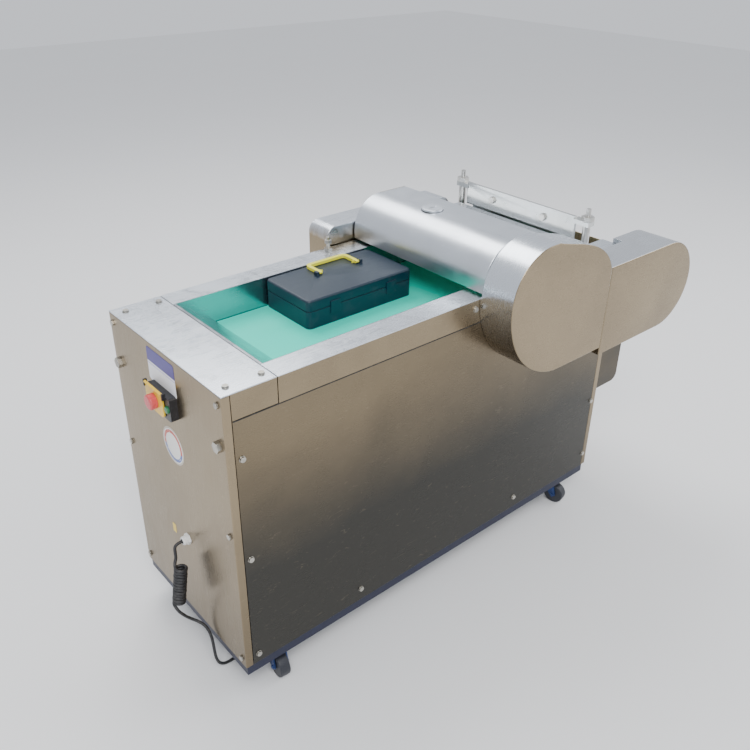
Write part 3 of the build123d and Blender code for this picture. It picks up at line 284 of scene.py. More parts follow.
def cast_metal(name, colour, roughness=0.55, metallic=0.4):
    """Cast or painted metal with a fine sandy skin and worn high spots."""
    metal = Finish(name)
    sand = metal.noise(420.0, 3.0)
    patches = metal.noise(26.0, 4.0, 0.6)
    worn = metal.spread(patches, 0.58, 0.72)
    pale = tint(colour, 1.9, 0.012)
    metal.bump(sand, 0.35, 0.0004)
    return metal.surface(
        Base_Color=metal.mix(worn * 0.6, colour, pale),
        Metallic=metallic,
        Roughness=roughness + (patches - 0.5) * 0.3,
    )


def machined(name, colour):
    """Turned steel with faint tool rings and oil stains."""
    metal = Finish(name)
    rings = metal.noise(90.0, 3.0, 0.5, (6.0, 0.6, 6.0))
    stains = metal.spread(metal.noise(30.0, 4.0), 0.45, 0.7)
    metal.bump(rings, 0.2, 0.0003)
    return metal.surface(
        Base_Color=metal.mix(stains * 0.7, colour, tint(colour, 0.55)),
        Metallic=1.0,
        Roughness=0.28 + stains * 0.22,
    )


def moulded(name, colour, roughness, grain=0.25, dust=0.25):
    """Moulded plastic with a fine grain, faint scuffs and dust."""
    plastic = Finish(name)
    skin = plastic.cells(900.0)
    scuffs = plastic.spread(plastic.noise(45.0, 5.0, 0.65, (1.0, 2.5, 1.0), 0.8), 0.52, 0.72)
    plastic.bump(skin, grain, 0.0003)
    return plastic.surface(
        Base_Color=plastic.mix(scuffs * dust, colour, tint(colour, 0.7, 0.12)),
        Roughness=roughness + scuffs * 0.18,
    )


def belt_cover(name, colour):
    """Conveyor belt: a fine woven face with faint stains along the run."""
    belt = Finish(name)
    threads = 2600.0
    across = (belt.axis("Y") * threads).sine()
    along = (belt.axis("X") * threads).sine()
    stains = belt.spread(belt.noise(9.0, 5.0, 0.6, (0.5, 1.6, 1.0), 0.5), 0.42, 0.68)
    belt.bump(across * along, 0.25, 0.0002)
    return belt.surface(
        Base_Color=belt.mix(stains * 0.4, colour, tint(colour, 0.94, 0.06)),
        Roughness=0.50 + stains * 0.15,
        Specular_IOR_Level=0.22,
    )


def cord_sheath(name, colour):
    """Rubber cord sheath, slightly dusty."""
    sheath = Finish(name)
    dust = sheath.spread(sheath.noise(120.0, 4.0), 0.5, 0.75)
    sheath.bump(sheath.noise(900.0, 2.0), 0.2, 0.0002)
    return sheath.surface(Base_Color=sheath.mix(dust * 0.3, colour, (0.14, 0.13, 0.12)), Roughness=0.5)


def header_print(name):
    """A bare two-tone label: a deep violet band over white, with a thin rule between."""
    label = Finish(name)
    height = label.axis("Z")
    split = at(0, 0, HEADER_SPLIT_Z).z
    rule_drop, rule_half = 0.004, 0.0008
    band = height > split
    grain = label.noise(300.0, 2.0)
    shade = label.mix(grain * 0.3, (0.90, 0.90, 0.93), (0.74, 0.75, 0.82))
    colour = label.mix(band, shade, (0.045, 0.025, 0.24))
    rule = (height - split + rule_drop).absolute() < rule_half
    label.bump(grain, 0.05, 0.0001)
    return label.surface(Base_Color=label.mix(rule, colour, (0.35, 0.33, 0.62)), Roughness=0.32)


def round_print(name, centre):
    """A bare round sticker: a dull red ring with a blue lower arc round a plain white middle."""
    label = Finish(name)
    y = label.axis("Y") - centre.y
    z = label.axis("Z") - centre.z
    distance = (y * y + z * z).power(0.5)
    ring_inner, ring_outer, rim_inner, arc_top = 0.0255, 0.0315, 0.0335, -0.006
    ring = (distance > ring_inner) * (distance < ring_outer)
    ink = label.mix(z < arc_top, (0.60, 0.10, 0.07), (0.10, 0.16, 0.45))
    rim = distance > rim_inner
    worn = label.spread(label.noise(160.0, 4.0), 0.55, 0.7)
    colour = label.mix(ring * (1 - worn * 0.5), (0.86, 0.85, 0.82), ink)
    return label.surface(Base_Color=label.mix(rim, colour, (0.55, 0.50, 0.42)), Roughness=0.4)


def plain_pale(name, colour):
    """Stage paper."""
    paper = Finish(name)
    tone = paper.noise(2.0, 2.0)
    return paper.surface(Base_Color=paper.mix(tone, colour, tint(colour, 1.02)), Roughness=0.9)


def mesh_object(name, points, faces, smooth=True):
    """Makes an object whose place is in its mesh."""
    mesh = bpy.data.meshes.new(name)
    mesh.from_pydata([tuple(point) for point in points], [], [tuple(face) for face in faces])
    mesh.validate()
    mesh.polygons.foreach_set("use_smooth", [smooth] * len(mesh.polygons))
    made = bpy.data.objects.new(name, mesh)
    bpy.context.scene.collection.objects.link(made)
    return made


def turn_profile(name, origin, axis, profile, around, closed=False):
    """A surface of revolution: each profile point (along, radius) is turned about the axis."""
    profile = [*profile, profile[0]] if closed else profile
    axis = Vector(axis).normalized()
    side = axis.orthogonal().normalized()
    other = axis.cross(side)
    angles = np.linspace(0, 2 * math.pi, around, endpoint=False)
    ring = np.outer(np.cos(angles), side) + np.outer(np.sin(angles), other)
    rows = [np.array(origin) + along * np.array(axis) + radius * ring for along, radius in profile]
    points = np.concatenate(rows)
    low, step = np.meshgrid(np.arange(len(profile) - 1), np.arange(around), indexing="ij")
    start = low * around + step
    beside = low * around + (step + 1) % around
    faces = np.stack([start, beside, beside + around, start + around], axis=-1).reshape(-1, 4)
    made = mesh_object(name, points, faces)
    work = bmesh.new()
    work.from_mesh(made.data)
    bmesh.ops.remove_doubles(work, verts=work.verts, dist=1e-6)
    bmesh.ops.holes_fill(work, edges=work.edges)
    bmesh.ops.recalc_face_normals(work, faces=work.faces)
    work.to_mesh(made.data)
    work.free()
    made.data.set_sharp_from_angle(angle=math.radians(40))
    return made


def settle(made, node_or_body, finish):
    """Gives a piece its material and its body."""
    made.data.materials.clear()
    made.data.materials.append(finish)
    body = BODY_OF.get(node_or_body, node_or_body)
    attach(made, body)
    return made


def soften(made, width):
    """Rounds a piece's sharp edges with a small live bevel."""
    soft = made.modifiers.new("edges", "BEVEL")
    soft.width = width
    soft.segments = 2
    soft.limit_method = "ANGLE"
    return soft


def dress(node, finish, bevel):
    """Stands a clean copy of a frame node in its place, with its folds and edges softened."""
    source = frame["nodes"][node]
    made = source.copy()
    made.data = source.data.copy()
    made.name = f"{node}_surface"
    bpy.context.scene.collection.objects.link(made)
    made.parent = None
    made.matrix_world = Matrix.Identity(4)
    made.hide_render = False
    made.hide_viewport = False
    work = bmesh.new()
    work.from_mesh(made.data)
    bmesh.ops.remove_doubles(work, verts=work.verts, dist=WELD)
    bmesh.ops.dissolve_limit(work, angle_limit=math.radians(0.5), verts=work.verts, edges=work.edges)
    work.to_mesh(made.data)
    work.free()
    if bevel:
        soften(made, bevel).angle_limit = math.radians(35)
    made.data.polygons.foreach_set("use_smooth", [True] * len(made.data.polygons))
    made.data.set_sharp_from_angle(angle=math.radians(30))
    settle(made, node, finish)
    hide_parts(node)
    return made


def finish_node(node, finish):
    """Gives a frame node its material."""
    target = frame["nodes"][node].data
    target.materials.clear()
    target.materials.append(finish)
    target.polygons.foreach_set("material_index", [0] * len(target.polygons))


def strip(name, low, high, finish, body, thickness_axis="x", rounding=0.0004):
    """A thin plate between two corners, with rounded corners in its own plane."""
    low, high = np.minimum(low, high), np.maximum(low, high)
    axes = {"x": (1, 2, 0), "y": (0, 2, 1), "z": (0, 1, 2)}[thickness_axis]
    corner_share, corner_points = 0.08, 6
    radius = min(high[axes[0]] - low[axes[0]], high[axes[1]] - low[axes[1]]) * corner_share
    quarter = np.linspace(0, math.pi / 2, corner_points)
    outline = []
    for right, upper, turn in ((1, 1, 0), (0, 1, 1), (0, 0, 2), (1, 0, 3)):
        centre_a = high[axes[0]] - radius if right else low[axes[0]] + radius
        centre_b = high[axes[1]] - radius if upper else low[axes[1]] + radius
        angles = quarter + turn * math.pi / 2
        outline += list(zip(centre_a + radius * np.cos(angles), centre_b + radius * np.sin(angles)))
    count = len(outline)
    points = []
    for level in (low[axes[2]], high[axes[2]]):
        for a, b in outline:
            point = [0, 0, 0]
            point[axes[0]], point[axes[1]], point[axes[2]] = a, b, level
            points.append(point)
    faces = [tuple(range(count)), tuple(range(2 * count - 1, count - 1, -1))]
    faces += [(i, (i + 1) % count, (i + 1) % count + count, i + count) for i in range(count)]
    made = mesh_object(name, points, faces, smooth=False)
    work = bmesh.new()
    work.from_mesh(made.data)
    bmesh.ops.recalc_face_normals(work, faces=work.faces)
    work.to_mesh(made.data)
    work.free()
    soften(made, rounding)
    return settle(made, body, finish)


class SlicerLook(bpy.types.PropertyGroup):
    """Sizes and colours that change the machine's finish."""

    fold_radius: bpy.props.FloatProperty(
        name="Fold radius",
        description="Rounding of the sheet metal folds",
        default=0.0014,
        unit="LENGTH",
    )
    edge_radius: bpy.props.FloatProperty(
        name="Edge radius",
        description="Rounding of machined and moulded edges",
        default=0.0006,
        unit="LENGTH",
    )
    sticker_radius: bpy.props.FloatProperty(
        name="Sticker radius",
        description="Radius of the round sticker",
        default=0.037,
        unit="LENGTH",
    )
    cord_radius: bpy.props.FloatProperty(
        name="Cord radius",
        description="Half the thickness of the mains cord",
        default=0.003,
        unit="LENGTH",
    )
    hank_turns: bpy.props.IntProperty(
        name="Hank turns", description="Turns wound on the hank", default=13
    )
    # The three steel colours are painted light on one stainless steel: a painted sky reflection for faces
    # that look up, painted olive shade for upright faces, and darker painted shade near the floor.
    steel_sky_lit: bpy.props.FloatVectorProperty(
        name="Light steel",
        description="Stainless that faces the sky",
        default=(0.72, 0.76, 0.81),
        subtype="COLOR",
    )
    steel_upright_shade: bpy.props.FloatVectorProperty(
        name="Dark steel",
        description="Upright stainless, olive",
        default=(0.33, 0.262, 0.172),
        subtype="COLOR",
    )
    steel_floor_shade: bpy.props.FloatVectorProperty(
        name="Low steel",
        description="Stainless near the floor",
        default=(0.060, 0.058, 0.052),
        subtype="COLOR",
    )
    belt_colour: bpy.props.FloatVectorProperty(
        name="Belt",
        description="Colour of the belts",
        default=(0.004, 0.72, 0.54),
        subtype="COLOR",
    )
    flap_colour: bpy.props.FloatVectorProperty(
        name="Switch yellow",
        description="Colour of the switch flap",
        default=(0.88, 0.56, 0.03),
        subtype="COLOR",
    )
    bail_colour: bpy.props.FloatVectorProperty(
        name="Bail yellow",
        description="Colour of the case's handle",
        default=(0.82, 0.78, 0.05),
        subtype="COLOR",
    )


class SlicerOperator:
    """What every operator of this panel shares."""

    bl_options = {"REGISTER"}

    @property
    def look(self):
        return bpy.context.scene.slicer_look


class SLICER_OT_cabinet(SlicerOperator, bpy.types.Operator):
    """Brushed stainless cabinet, deck and trough sheets"""

    bl_idname = "slicer.cabinet"
    bl_label = "Cabinet"

    def execute(self, context):
        look = self.look
        light, olive, low = tuple(look.steel_sky_lit), tuple(look.steel_upright_shade), tuple(look.steel_floor_shade)
        # Painted shade: the side panels are a darker copy of the upright steel, and both side and end
        # panels fall to darker painted shade towards the floor.
        shaded = tint(olive, 0.66)
        side = brushed_steel("side_steel", shaded, tint(shaded, 0.82), LENGTHWISE, low=low)
        ends = brushed_steel(
            "end_steel", olive, tint(olive, 0.86), UPRIGHT, low=tint(olive, 0.62), heights=(0.06, 0.45)
        )
        # Painted sky reflection on the deck's top faces, and painted shade on its other faces.
        top = deck_high.z - SKIN
        deck = folded_steel(
            "deck_steel",
            face=tint(olive, 0.92),
            edge=light,
            test=lambda steel: steel.axis("Z") > top,
            heights=(top - 0.004, top),
            edge_low=tint(light, 0.85),
        )
        for node in ("near_side_panel", "far_side_panel"):
            dress(node, side, look.fold_radius * 0.5)
        for node in ("front_end_panel", "rear_end_panel"):
            dress(node, ends, look.fold_radius * 0.6)
        for node in ("deck_end_plate", "deck_side_strips", "gate_strip"):
            dress(node, deck, look.fold_radius * 0.6)
        # Painted shade inside the trough: its walls are a dimmer copy of the sky-lit steel.
        inner = tint(light, 0.75)
        walls = brushed_steel("trough_steel", inner, tint(inner, 0.8), LENGTHWISE, 0.22)
        for node in ("trough_walls", "infeed_ramp", "slider_bed"):
            dress(node, walls, look.edge_radius * 0.5)
        # Painted shade: the discharge chute stands in the guard's shade, so its steel is dark olive that
        # falls to the floor shade.
        spout = brushed_steel("spout_painted_shade", tint(olive, 0.36), low, LENGTHWISE, 0.34)
        dress("discharge_chute", spout, look.edge_radius)
        finish_node("base_frame", cast_metal("frame_paint", (0.003, 0.006, 0.030), 0.42, 0.1))
        panel_shade_lines()
        return {"FINISHED"}


def panel_shade_lines():
    """Painted shade: a black strip for the shaded gap between each side panel and the deck strip above
    it.
    """
    # Painted shade: the rubber finish here is only a black colour for the shade in the gap.
    rubber = cord_sheath("painted_gap_black", (0.006, 0.006, 0.006))
    end_gap, proud, lap, rise = 0.001, 0.0003, 0.0012, 0.0008
    for side in ("near", "far"):
        low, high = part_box(f"{side}_side_panel")
        face = low.y if side == "near" else high.y
        start = (low.x + end_gap, face - proud, high.z - lap)
        end = (high.x - end_gap, face + proud, high.z + rise)
        strip(f"{side}_panel_shade_line", start, end, rubber, "machine", "y", 0.0001)


class SLICER_OT_covers(SlicerOperator, bpy.types.Operator):
    """Hood, guards and the round cap, with their weld seams"""

    bl_idname = "slicer.covers"
    bl_label = "Hood and guards"

    def execute(self, context):
        look = self.look
        light, olive = tuple(look.steel_sky_lit), tuple(look.steel_upright_shade)
        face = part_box("near_guard")[0].y + SKIN
        # Painted light: the hood is the sky-lit steel, with painted shade at its foot up to 5 cm above
        # the deck.
        hood = brushed_steel(
            "hood_steel",
            light,
            dark=tint(light, 0.9),
            grain=CROSSWISE,
            roughness=0.34,
            low=(0.58, 0.58, 0.56),
            heights=(deck_high.z - 0.01, deck_high.z + 0.05),
        )
        # Painted light: the guards' near faces are painted olive shade, and their rims are a painted sky
        # reflection that darkens into painted shade lower down.
        guard = folded_steel(
            "guard_steel",
            face=olive,
            edge=light,
            test=lambda steel: steel.axis("Y") > face,
            heights=(deck_high.z - 0.10, deck_high.z + 0.03),
            edge_low=tint(olive, 0.55),
            roughness=0.26,
        )
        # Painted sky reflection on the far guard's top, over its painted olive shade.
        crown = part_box("far_guard")[1].z
        shoulder = crown - 0.03
        far_guard = folded_steel(
            "far_guard_steel",
            face=olive,
            edge=light,
            test=lambda steel: steel.axis("Z") > shoulder,
            heights=(shoulder, crown - 0.004),
            edge_low=olive,
            roughness=0.30,
        )
        dress("hood", hood, look.fold_radius)
        dress("far_guard", far_guard, look.fold_radius)
        for node in ("near_guard", "stroke_guard"):
            dress(node, guard, look.fold_radius)
        # Painted sky reflection on the round cap's top.
        cap = brushed_steel("cap_steel", light, tint(light, 0.92), (1.0, 1.0, 1.0), 0.42)
        dress("hood_cap", cap, look.edge_radius)
        seam = machined("weld_seam", (0.50, 0.48, 0.44))
        low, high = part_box("hood")
        near_inset, far_inset = 0.0012, 0.0022
        bead("hood_weld_near", HOOD_WELD_X, low.y + near_inset, HOOD_WELD_Z, seam)
        bead("hood_weld_far", HOOD_WELD_X, high.y - far_inset, HOOD_WELD_Z, seam)
        cap_marks()
        guard_lips(guard, far_guard)
        return {"FINISHED"}


def cap_marks():
    """Painted shade: black pieces in the coin slot across the round cap and in the gap round its foot."""
    low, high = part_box("hood_cap")
    middle = (low + high) / 2
    half_length, half_width, top, bottom = 0.0086, 0.0013, 0.0012, 0.0021
    slot_low = (middle.x - half_length, middle.y - half_width, high.z - bottom)
    slot_high = (middle.x + half_length, middle.y + half_width, high.z - top)
    # Painted shade in the slot and in the ring gap, as a black finish.
    gap = cord_sheath("painted_slot_black", (0.01, 0.01, 0.01))
    strip("cap_slot", slot_low, slot_high, gap, "machine", "z", 0.0002)
    rim = (high.x - low.x) / 2
    foot, inner_top, outer_top = -0.0002, 0.0004, 0.0005
    inner = [(foot, rim - 0.0004), (inner_top, rim - 0.0001)]
    ring = [*inner, (outer_top, rim + 0.0008), (foot, rim + 0.0012)]
    collar = turn_profile("cap_ring", (middle.x, middle.y, low.z), (0, 0, 1), ring, 64, closed=True)
    settle(collar, "machine", gap)


def guard_lips(finish, far_finish):
    """Thin inner lips that close the guards' backs where they stand above the deck."""
    back, lip, wall = 0.0035, 0.0015, 0.002
    bite, gap, edge = 0.0005, 0.0003, 0.0002
    corner_x, corner_z = 0.0245, 0.0285
    low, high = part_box("far_guard")
    near = (low.x + corner_x, low.y + back, high.z - corner_z)
    far = (high.x - corner_x, low.y + back + lip, high.z - wall + bite)
    lips = [strip("far_guard_lip", near, far, far_finish, "machine", "y", edge)]
    front_gap, inward = 0.004, 0.0185
    low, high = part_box("stroke_guard")
    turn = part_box("rear_end_panel")[1].x + gap
    foot, top = deck_high.z + gap, high.z - wall + bite
    outer = end_low.y - back - lip
    beside = ((low.x + front_gap, outer, foot), (turn, end_low.y - back, top))
    across = ((turn, outer, foot), (turn + lip, end_low.y + inward, top))
    lips.append(strip("stroke_guard_side_lip", *beside, finish, "machine", "y", edge))
    lips.append(strip("stroke_guard_end_lip", *across, finish, "machine", "x", edge))


def bead(name, reach, y, height, finish):
    """A weld bead along X at depth y.

    At share s of its run and angle a round it, its radius is r (1 + ripple sin(waves s)), and the point
    stands at radius cos a beside the line and radius sin a above it.
    """
    mean_radius, ripple, waves, sunk = 0.0008, 0.18, 260, 0.0003
    rows, columns = 160, 8
    start, end = at(reach[0], 0, height), at(reach[1], 0, height)
    along = np.linspace(0, 1, rows)
    around = np.linspace(0, math.pi, columns)
    grid_along, grid_around = np.meshgrid(along, around, indexing="ij")
    radius = mean_radius * (1 + ripple * np.sin(grid_along * waves))
    x = start.x + (end.x - start.x) * grid_along
    z = start.z - sunk + radius * np.sin(grid_around)
    depth = y + radius * np.cos(grid_around)
    points = np.stack([x, depth, z], axis=-1).reshape(-1, 3)
    i, j = np.meshgrid(np.arange(rows - 1), np.arange(columns - 1), indexing="ij")
    first = (i * columns + j).ravel()
    faces = np.stack([first, first + columns, first + columns + 1, first + 1], axis=-1)
    return settle(mesh_object(name, points, faces), "machine", finish)


class SLICER_OT_knife(SlicerOperator, bpy.types.Operator):
    """Knife gate, its posts, the board and what drives them"""

    bl_idname = "slicer.knife"
    bl_label = "Knife and drive"

    def execute(self, context):
        look = self.look
        bright = brushed_steel(
            "knife_steel", (0.74, 0.76, 0.76), (0.52, 0.53, 0.51), BLADE_GRAIN, roughness=0.22, wear=0.3
        )
        turned = machined("turned_steel", (0.62, 0.61, 0.58))
        dark = cast_metal("drive_casting", (0.10, 0.11, 0.12))
        dress("knife_plate", bright, look.edge_radius)
        dress("knife_blade", bright, 0)
        for node in ("guide_posts", "knife_bolts", "guide_bushes", "crank_shaft"):
            dress(node, turned, look.edge_radius * 0.5)
        dress("cover_screws", machined("screw_steel", (0.50, 0.48, 0.43)), look.edge_radius * 0.5)
        for node in ("stroke_disc", "feed_rod", "drive_roller", "idler_roller", "press_roller"):
            finish_node(node, turned)
        for node in ("connecting_rods", "driven_pulley", "motor_pulley", "bearing_blocks", "ratchet_arm"):
            finish_node(node, dark)
        finish_node("motor", cast_metal("motor_paint", (0.06, 0.16, 0.28), 0.45, 0.0))
        finish_node("stroke_chain", machined("chain_steel", (0.28, 0.27, 0.25)))
        finish_node("v_belt", cord_sheath("belt_rubber", (0.02, 0.02, 0.02)))
        finish_node("press_frame", bright)
        dress("cutting_board", moulded("board_plastic", (0.86, 0.85, 0.80), 0.4), look.edge_radius)
        belt = belt_cover("belt_face", tuple(look.belt_colour))
        dress("conveyor_belt", belt, 0)
        dress("press_belt", belt, 0)
        washers(machined("washer_steel", (0.36, 0.34, 0.30)))
        return {"FINISHED"}


def washers(finish):
    """A plain washer under every deck and near side screw head."""
    foot, bulge, lip = 0.0058, 0.0061, 0.0057
    sunk, middle, top = -0.0002, 0.0004, 0.0008
    ring = [(sunk, 0.0), (sunk, foot), (middle, bulge), (top, lip), (top, 0.0)]
    deck = [("deck_washer", (x, y, 0), (0, 0, 1)) for x, y in DECK_SCREWS]
    side = [("side_washer", (x, 0, z), (0, -1, 0)) for x, z in SIDE_SCREWS]
    for group in (deck, side):
        for number, (name, place, outward) in enumerate(group):
            made = turn_profile(f"{name}_{number}", at(*place), outward, ring, 28)
            settle(made, "machine", finish)


class SLICER_OT_castors(SlicerOperator, bpy.types.Operator):
    """Castor forks and wheels"""

    bl_idname = "slicer.castors"
    bl_label = "Castors"

    def execute(self, context):
        fork = cast_metal("fork_paint", (0.02, 0.045, 0.15), 0.36)
        tread = moulded("wheel_plastic", (0.02, 0.022, 0.03), 0.45)
        for corner in ("near_front", "near_rear", "far_front", "far_rear"):
            dress(f"castor_fork_{corner}", fork, self.look.edge_radius)
            dress(f"castor_wheel_{corner}", tread, self.look.edge_radius)
        return {"FINISHED"}


class SLICER_OT_switch(SlicerOperator, bpy.types.Operator):
    """Push switch, gland and the bare label, sticker and patch on the switch end"""

    bl_idname = "slicer.switch"
    bl_label = "Switch and labels"

    def execute(self, context):
        look = self.look
        dress("switch_base", moulded("switch_black", (0.015, 0.015, 0.018), 0.35), look.edge_radius)
        dress("switch_flap", moulded("switch_yellow", tuple(look.flap_colour), 0.3), look.edge_radius)
        dress("stop_knob", moulded("knob_red", (0.62, 0.07, 0.08), 0.25), look.edge_radius)
        dress("start_button", moulded("start_green", (0.02, 0.16, 0.06), 0.3), look.edge_radius * 0.6)
        white = moulded("gland_white", (0.82, 0.82, 0.80), 0.4)
        dress("cable_gland", white, look.edge_radius)
        sleeve = turn_profile("gland_sleeve", at(0, *GLAND_CENTRE), (-1, 0, 0), sleeve_profile(), 36)
        settle(sleeve, "machine", white)
        header = (at(-0.5, HEADER_Y[0], HEADER_Z[0]), at(0.1, HEADER_Y[1], HEADER_Z[1]))
        strip("header_label", *header, header_print("header_print"), "machine")
        profile = sticker_profile(look.sticker_radius)
        disc = turn_profile("round_sticker", at(0, *STICKER_CENTRE), (-1, 0, 0), profile, 72)
        settle(disc, "machine", round_print("round_print", at(0, *STICKER_CENTRE)))
        patch = moulded("patch_yellow", (0.86, 0.62, 0.10), 0.45)
        corners = (at(-0.4, PATCH_Y[0], PATCH_Z[0]), at(0.1, PATCH_Y[1], PATCH_Z[1]))
        strip("yellow_patch", *corners, patch, "machine")
        return {"FINISHED"}


def sticker_profile(radius):
    """The round sticker: sunk a little into the panel, with a soft rim and a barely domed face."""
    sunk, middle, shoulder, crown = -0.0002, 0.0002, 0.0004, 0.0005
    rim = [(sunk, radius - middle), (middle, radius), (shoulder, radius - shoulder)]
    return [(sunk, 0.0), *rim, (crown, 0.0)]


def sleeve_profile():
    """The gland's tapering sleeve: five ribs of falling radius, then the narrow end round the cord."""
    root, crest, first, pitch = 0.0074, 0.0088, 0.0062, 0.0014
    root_fall, crest_fall = 0.0004, 0.0005
    rise, flat_end, foot = 0.0004, 0.0010, 0.0012
    ribs = [(0.0, root)]
    for rib in range(5):
        start = first + rib * pitch
        low, high = root - rib * root_fall, crest - rib * crest_fall
        ribs += [(start, low), (start + rise, high), (start + flat_end, high), (start + foot, low)]
    end, mouth, bore = 0.0140, 0.0052, 0.0030
    return [*ribs, (end, mouth), (end, bore)]


class SLICER_OT_case(SlicerOperator, bpy.types.Operator):
    """Black tool case with its latches and yellow bail handle"""

    bl_idname = "slicer.case"
    bl_label = "Tool case"

    def execute(self, context):
        look = self.look
        black = moulded("case_black", (0.006, 0.020, 0.038), 0.34, 0.4, 0.12)
        dress("tool_case", black, look.edge_radius)
        yellow = moulded("bail_yellow", tuple(look.bail_colour), 0.32)
        dress("case_handle", yellow, look.edge_radius * 2)
        for number, x in enumerate(LATCH_X):
            corners = (at(x, LATCH_Y[0], LATCH_Z[0]), at(x + LATCH_WIDTH, LATCH_Y[1], LATCH_Z[1]))
            latch = strip(f"case_latch_{number}", *corners, black, "case", "y", 0.0006)
        return {"FINISHED"}


UPPER_ROUTE = [(-14, 175, -389), (-24, 175, -389), (-30, 175, -394), (-31, 173, -405)]
HANK_TOP = Vector((-30.0, 158.0, -427.0))
HANK_BOTTOM = Vector((-43.0, 161.0, -518.0))
HANK_RADIUS = 10.2
HANK_UNEVEN = 0.35
HANK_PACE = 0.37
HANK_END = 3.2
HANK_STEPS = 14
LEAD_STEPS = 3
LEAD_RISE = 13.0
LEAD_SPREAD = 3.6
TAIL_ROUTE = [
    (-38, 148, -543),
    (-30, 147, -553),
    (-20, 139, -560),
    (-11, 128, -569),
    (-8, 117, -582),
    (-9, 108, -598),
    (-11, 102, -616),
    (-10, 100, -635),
    (-5, 100, -652),
    (6, 101, -663),
    (22, 103, -667.9),
    (42, 107, -668.6),
    (62, 113, -668.7),
    (80, 122, -667.0),
    (92, 131, -663.5),
    (103, 138, -660),
]


def cord_points(turns):
    """The cord's route: down to the hank, round it as a helix that eases in and out, and on to the plug.

    At angle a the winding is at r (outward cos a + onward sin a) beside its axis, where r is HANK_RADIUS
    plus a slow sine of HANK_UNEVEN. Past either end of the turns, with u from 0 to 1, r grows by
    LEAD_SPREAD u^2 and the cord leaves the hank by LEAD_RISE u^1.5.
    """
    axis = (HANK_BOTTOM - HANK_TOP).normalized()
    length = (HANK_BOTTOM - HANK_TOP).length
    onward = Vector((0, -1, 0)) + axis * axis.y
    onward.normalize()
    outward = axis.cross(onward)
    count = turns * HANK_STEPS

    def winding(step):
        past = max(-step, step - count, 0) / LEAD_STEPS
        share = min(max(step / count, 0), 1)
        angle = 2 * math.pi * step / HANK_STEPS
        radius = HANK_RADIUS + HANK_UNEVEN * math.sin(angle * HANK_PACE + 1.0) + LEAD_SPREAD * past ** 2
        rise = math.copysign(LEAD_RISE * past ** 1.5, step)
        along = HANK_END + (length - 2 * HANK_END) * share + rise
        return HANK_TOP + axis * along + (outward * math.cos(angle) + onward * math.sin(angle)) * radius

    points = [Vector(point) for point in UPPER_ROUTE]
    points += [winding(step) for step in range(-LEAD_STEPS, count + LEAD_STEPS + 1)]
    points += [Vector(point) for point in TAIL_ROUTE]
    return [at(*point) for point in points]


class SLICER_OT_cord(SlicerOperator, bpy.types.Operator):
    """Mains cord, wound hank and plug"""

    bl_idname = "slicer.cord"
    bl_label = "Mains cord"

    def execute(self, context):
        look = self.look
        sheath = cord_sheath("cord_rubber", (0.018, 0.018, 0.02))
        plug = dress("plug", sheath, look.edge_radius * 2)
        curve = bpy.data.curves.new("mains_cord", "CURVE")
        curve.dimensions = "3D"
        spline = curve.splines.new("NURBS")
        route = cord_points(look.hank_turns)
        spline.points.add(len(route) - 1)
        for place, point in zip(spline.points, route):
            place.co = (*point, 1.0)
        spline.order_u = 3
        spline.use_endpoint_u = True
        spline.resolution_u = 4
        curve.bevel_depth = look.cord_radius
        curve.bevel_resolution = 4
        curve.use_fill_caps = True
        made = bpy.data.objects.new("mains_cord", curve)
        bpy.context.scene.collection.objects.link(made)
        curve.materials.append(sheath)
        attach(made, "machine")
        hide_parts("power_cord", "cord_hank", "cord_tail")
        return {"FINISHED"}


class SLICER_OT_stage(SlicerOperator, bpy.types.Operator):
    """Pale floor, soft lights and the camera"""

    bl_idname = "slicer.stage"
    bl_label = "Stage"

    def execute(self, context):
        half = 8
        corners = [(-half, -half, 0), (half, -half, 0), (half, half, 0), (-half, half, 0)]
        ground = mesh_object("floor", corners, [(0, 1, 2, 3)], smooth=False)
        ground.data.materials.append(plain_pale("floor_paper", (0.86, 0.86, 0.86)))
        world = bpy.data.worlds.new("studio")
        bpy.context.scene.world = world
        world.use_nodes = True
        sky = world.node_tree.nodes["Background"].inputs
        sky["Color"].default_value = (0.86, 0.89, 0.95, 1)
        sky["Strength"].default_value = 0.92
        lamp("key", (-1.6, -2.2, 3.2), (0.0, 0.0, 0.5), 1.6, 95.0)
        lamp("fill", (2.6, -1.4, 1.8), (0.2, 0.0, 0.4), 2.2, 30.0)
        lamp("top", (0.2, 1.6, 3.0), (0.0, 0.0, 0.6), 1.8, 60.0)
        camera()
        return {"FINISHED"}


def lamp(name, place, aim, size, power):
    """A soft square light that points at the machine."""
    data = bpy.data.lights.new(name, "AREA")
    data.size = size
    data.energy = power
    made = bpy.data.objects.new(name, data)
    made.location = place
    made.rotation_euler = (Vector(aim) - Vector(place)).to_track_quat("-Z", "Y").to_euler()
    bpy.context.scene.collection.objects.link(made)


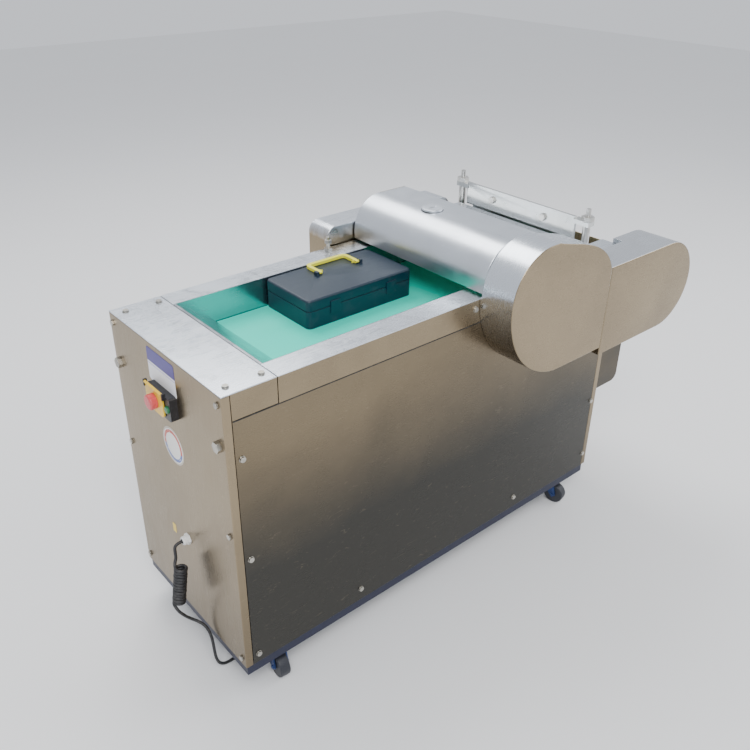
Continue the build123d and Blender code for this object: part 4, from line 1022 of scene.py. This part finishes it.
def camera():
    """The photograph's viewpoint: place, heading, tilt and lens found from the cabinet's corners."""
    yaw, pitch, roll = (math.radians(angle) for angle in (40.7106, -29.3606, 0.7296))
    focal, frame_width = 815.58, 750.0
    centre_x, centre_y = 377.19, 364.65
    eye = at(-494.2, -929.3, 638.0)
    forward = Vector((math.sin(yaw) * math.cos(pitch), math.cos(yaw) * math.cos(pitch), math.sin(pitch)))
    level = forward.cross(Vector((0, 0, 1))).normalized()
    upright = level.cross(forward)
    right = level * math.cos(roll) + upright * math.sin(roll)
    up = upright * math.cos(roll) - level * math.sin(roll)
    data = bpy.data.cameras.new("view")
    data.sensor_width = 36.0
    data.lens = focal * data.sensor_width / frame_width
    data.shift_x = (frame_width / 2 - centre_x) / frame_width
    data.shift_y = (centre_y - frame_width / 2) / frame_width
    data.clip_end = 50.0
    made = bpy.data.objects.new("view", data)
    turn = Matrix((right, up, -forward)).transposed().to_4x4()
    made.matrix_world = Matrix.Translation(eye) @ turn
    bpy.context.scene.collection.objects.link(made)
    bpy.context.scene.camera = made


class SLICER_PT_panel(bpy.types.Panel):
    """Lists the machine's pieces in the sidebar"""

    bl_label = "Slicer"
    bl_space_type = "VIEW_3D"
    bl_region_type = "UI"
    bl_category = "Slicer"

    def draw(self, context):
        for piece in PIECES:
            self.layout.operator(piece.bl_idname)
        for name in SlicerLook.__annotations__:
            self.layout.prop(context.scene.slicer_look, name)


PIECES = (
    SLICER_OT_stage,
    SLICER_OT_cord,
    SLICER_OT_cabinet,
    SLICER_OT_covers,
    SLICER_OT_knife,
    SLICER_OT_castors,
    SLICER_OT_switch,
    SLICER_OT_case,
)
CLASSES = (SlicerLook, *PIECES, SLICER_PT_panel)


def register():
    for cls in CLASSES:
        bpy.utils.register_class(cls)
    bpy.types.Scene.slicer_look = bpy.props.PointerProperty(type=SlicerLook)


def unregister():
    del bpy.types.Scene.slicer_look
    for cls in reversed(CLASSES):
        bpy.utils.unregister_class(cls)


def main():
    register()
    bpy.ops.slicer.stage()
    bpy.ops.slicer.cord()
    bpy.ops.slicer.cabinet()
    bpy.ops.slicer.covers()
    bpy.ops.slicer.knife()
    bpy.ops.slicer.castors()
    bpy.ops.slicer.switch()
    bpy.ops.slicer.case()


if __name__ == "__main__":
    main()
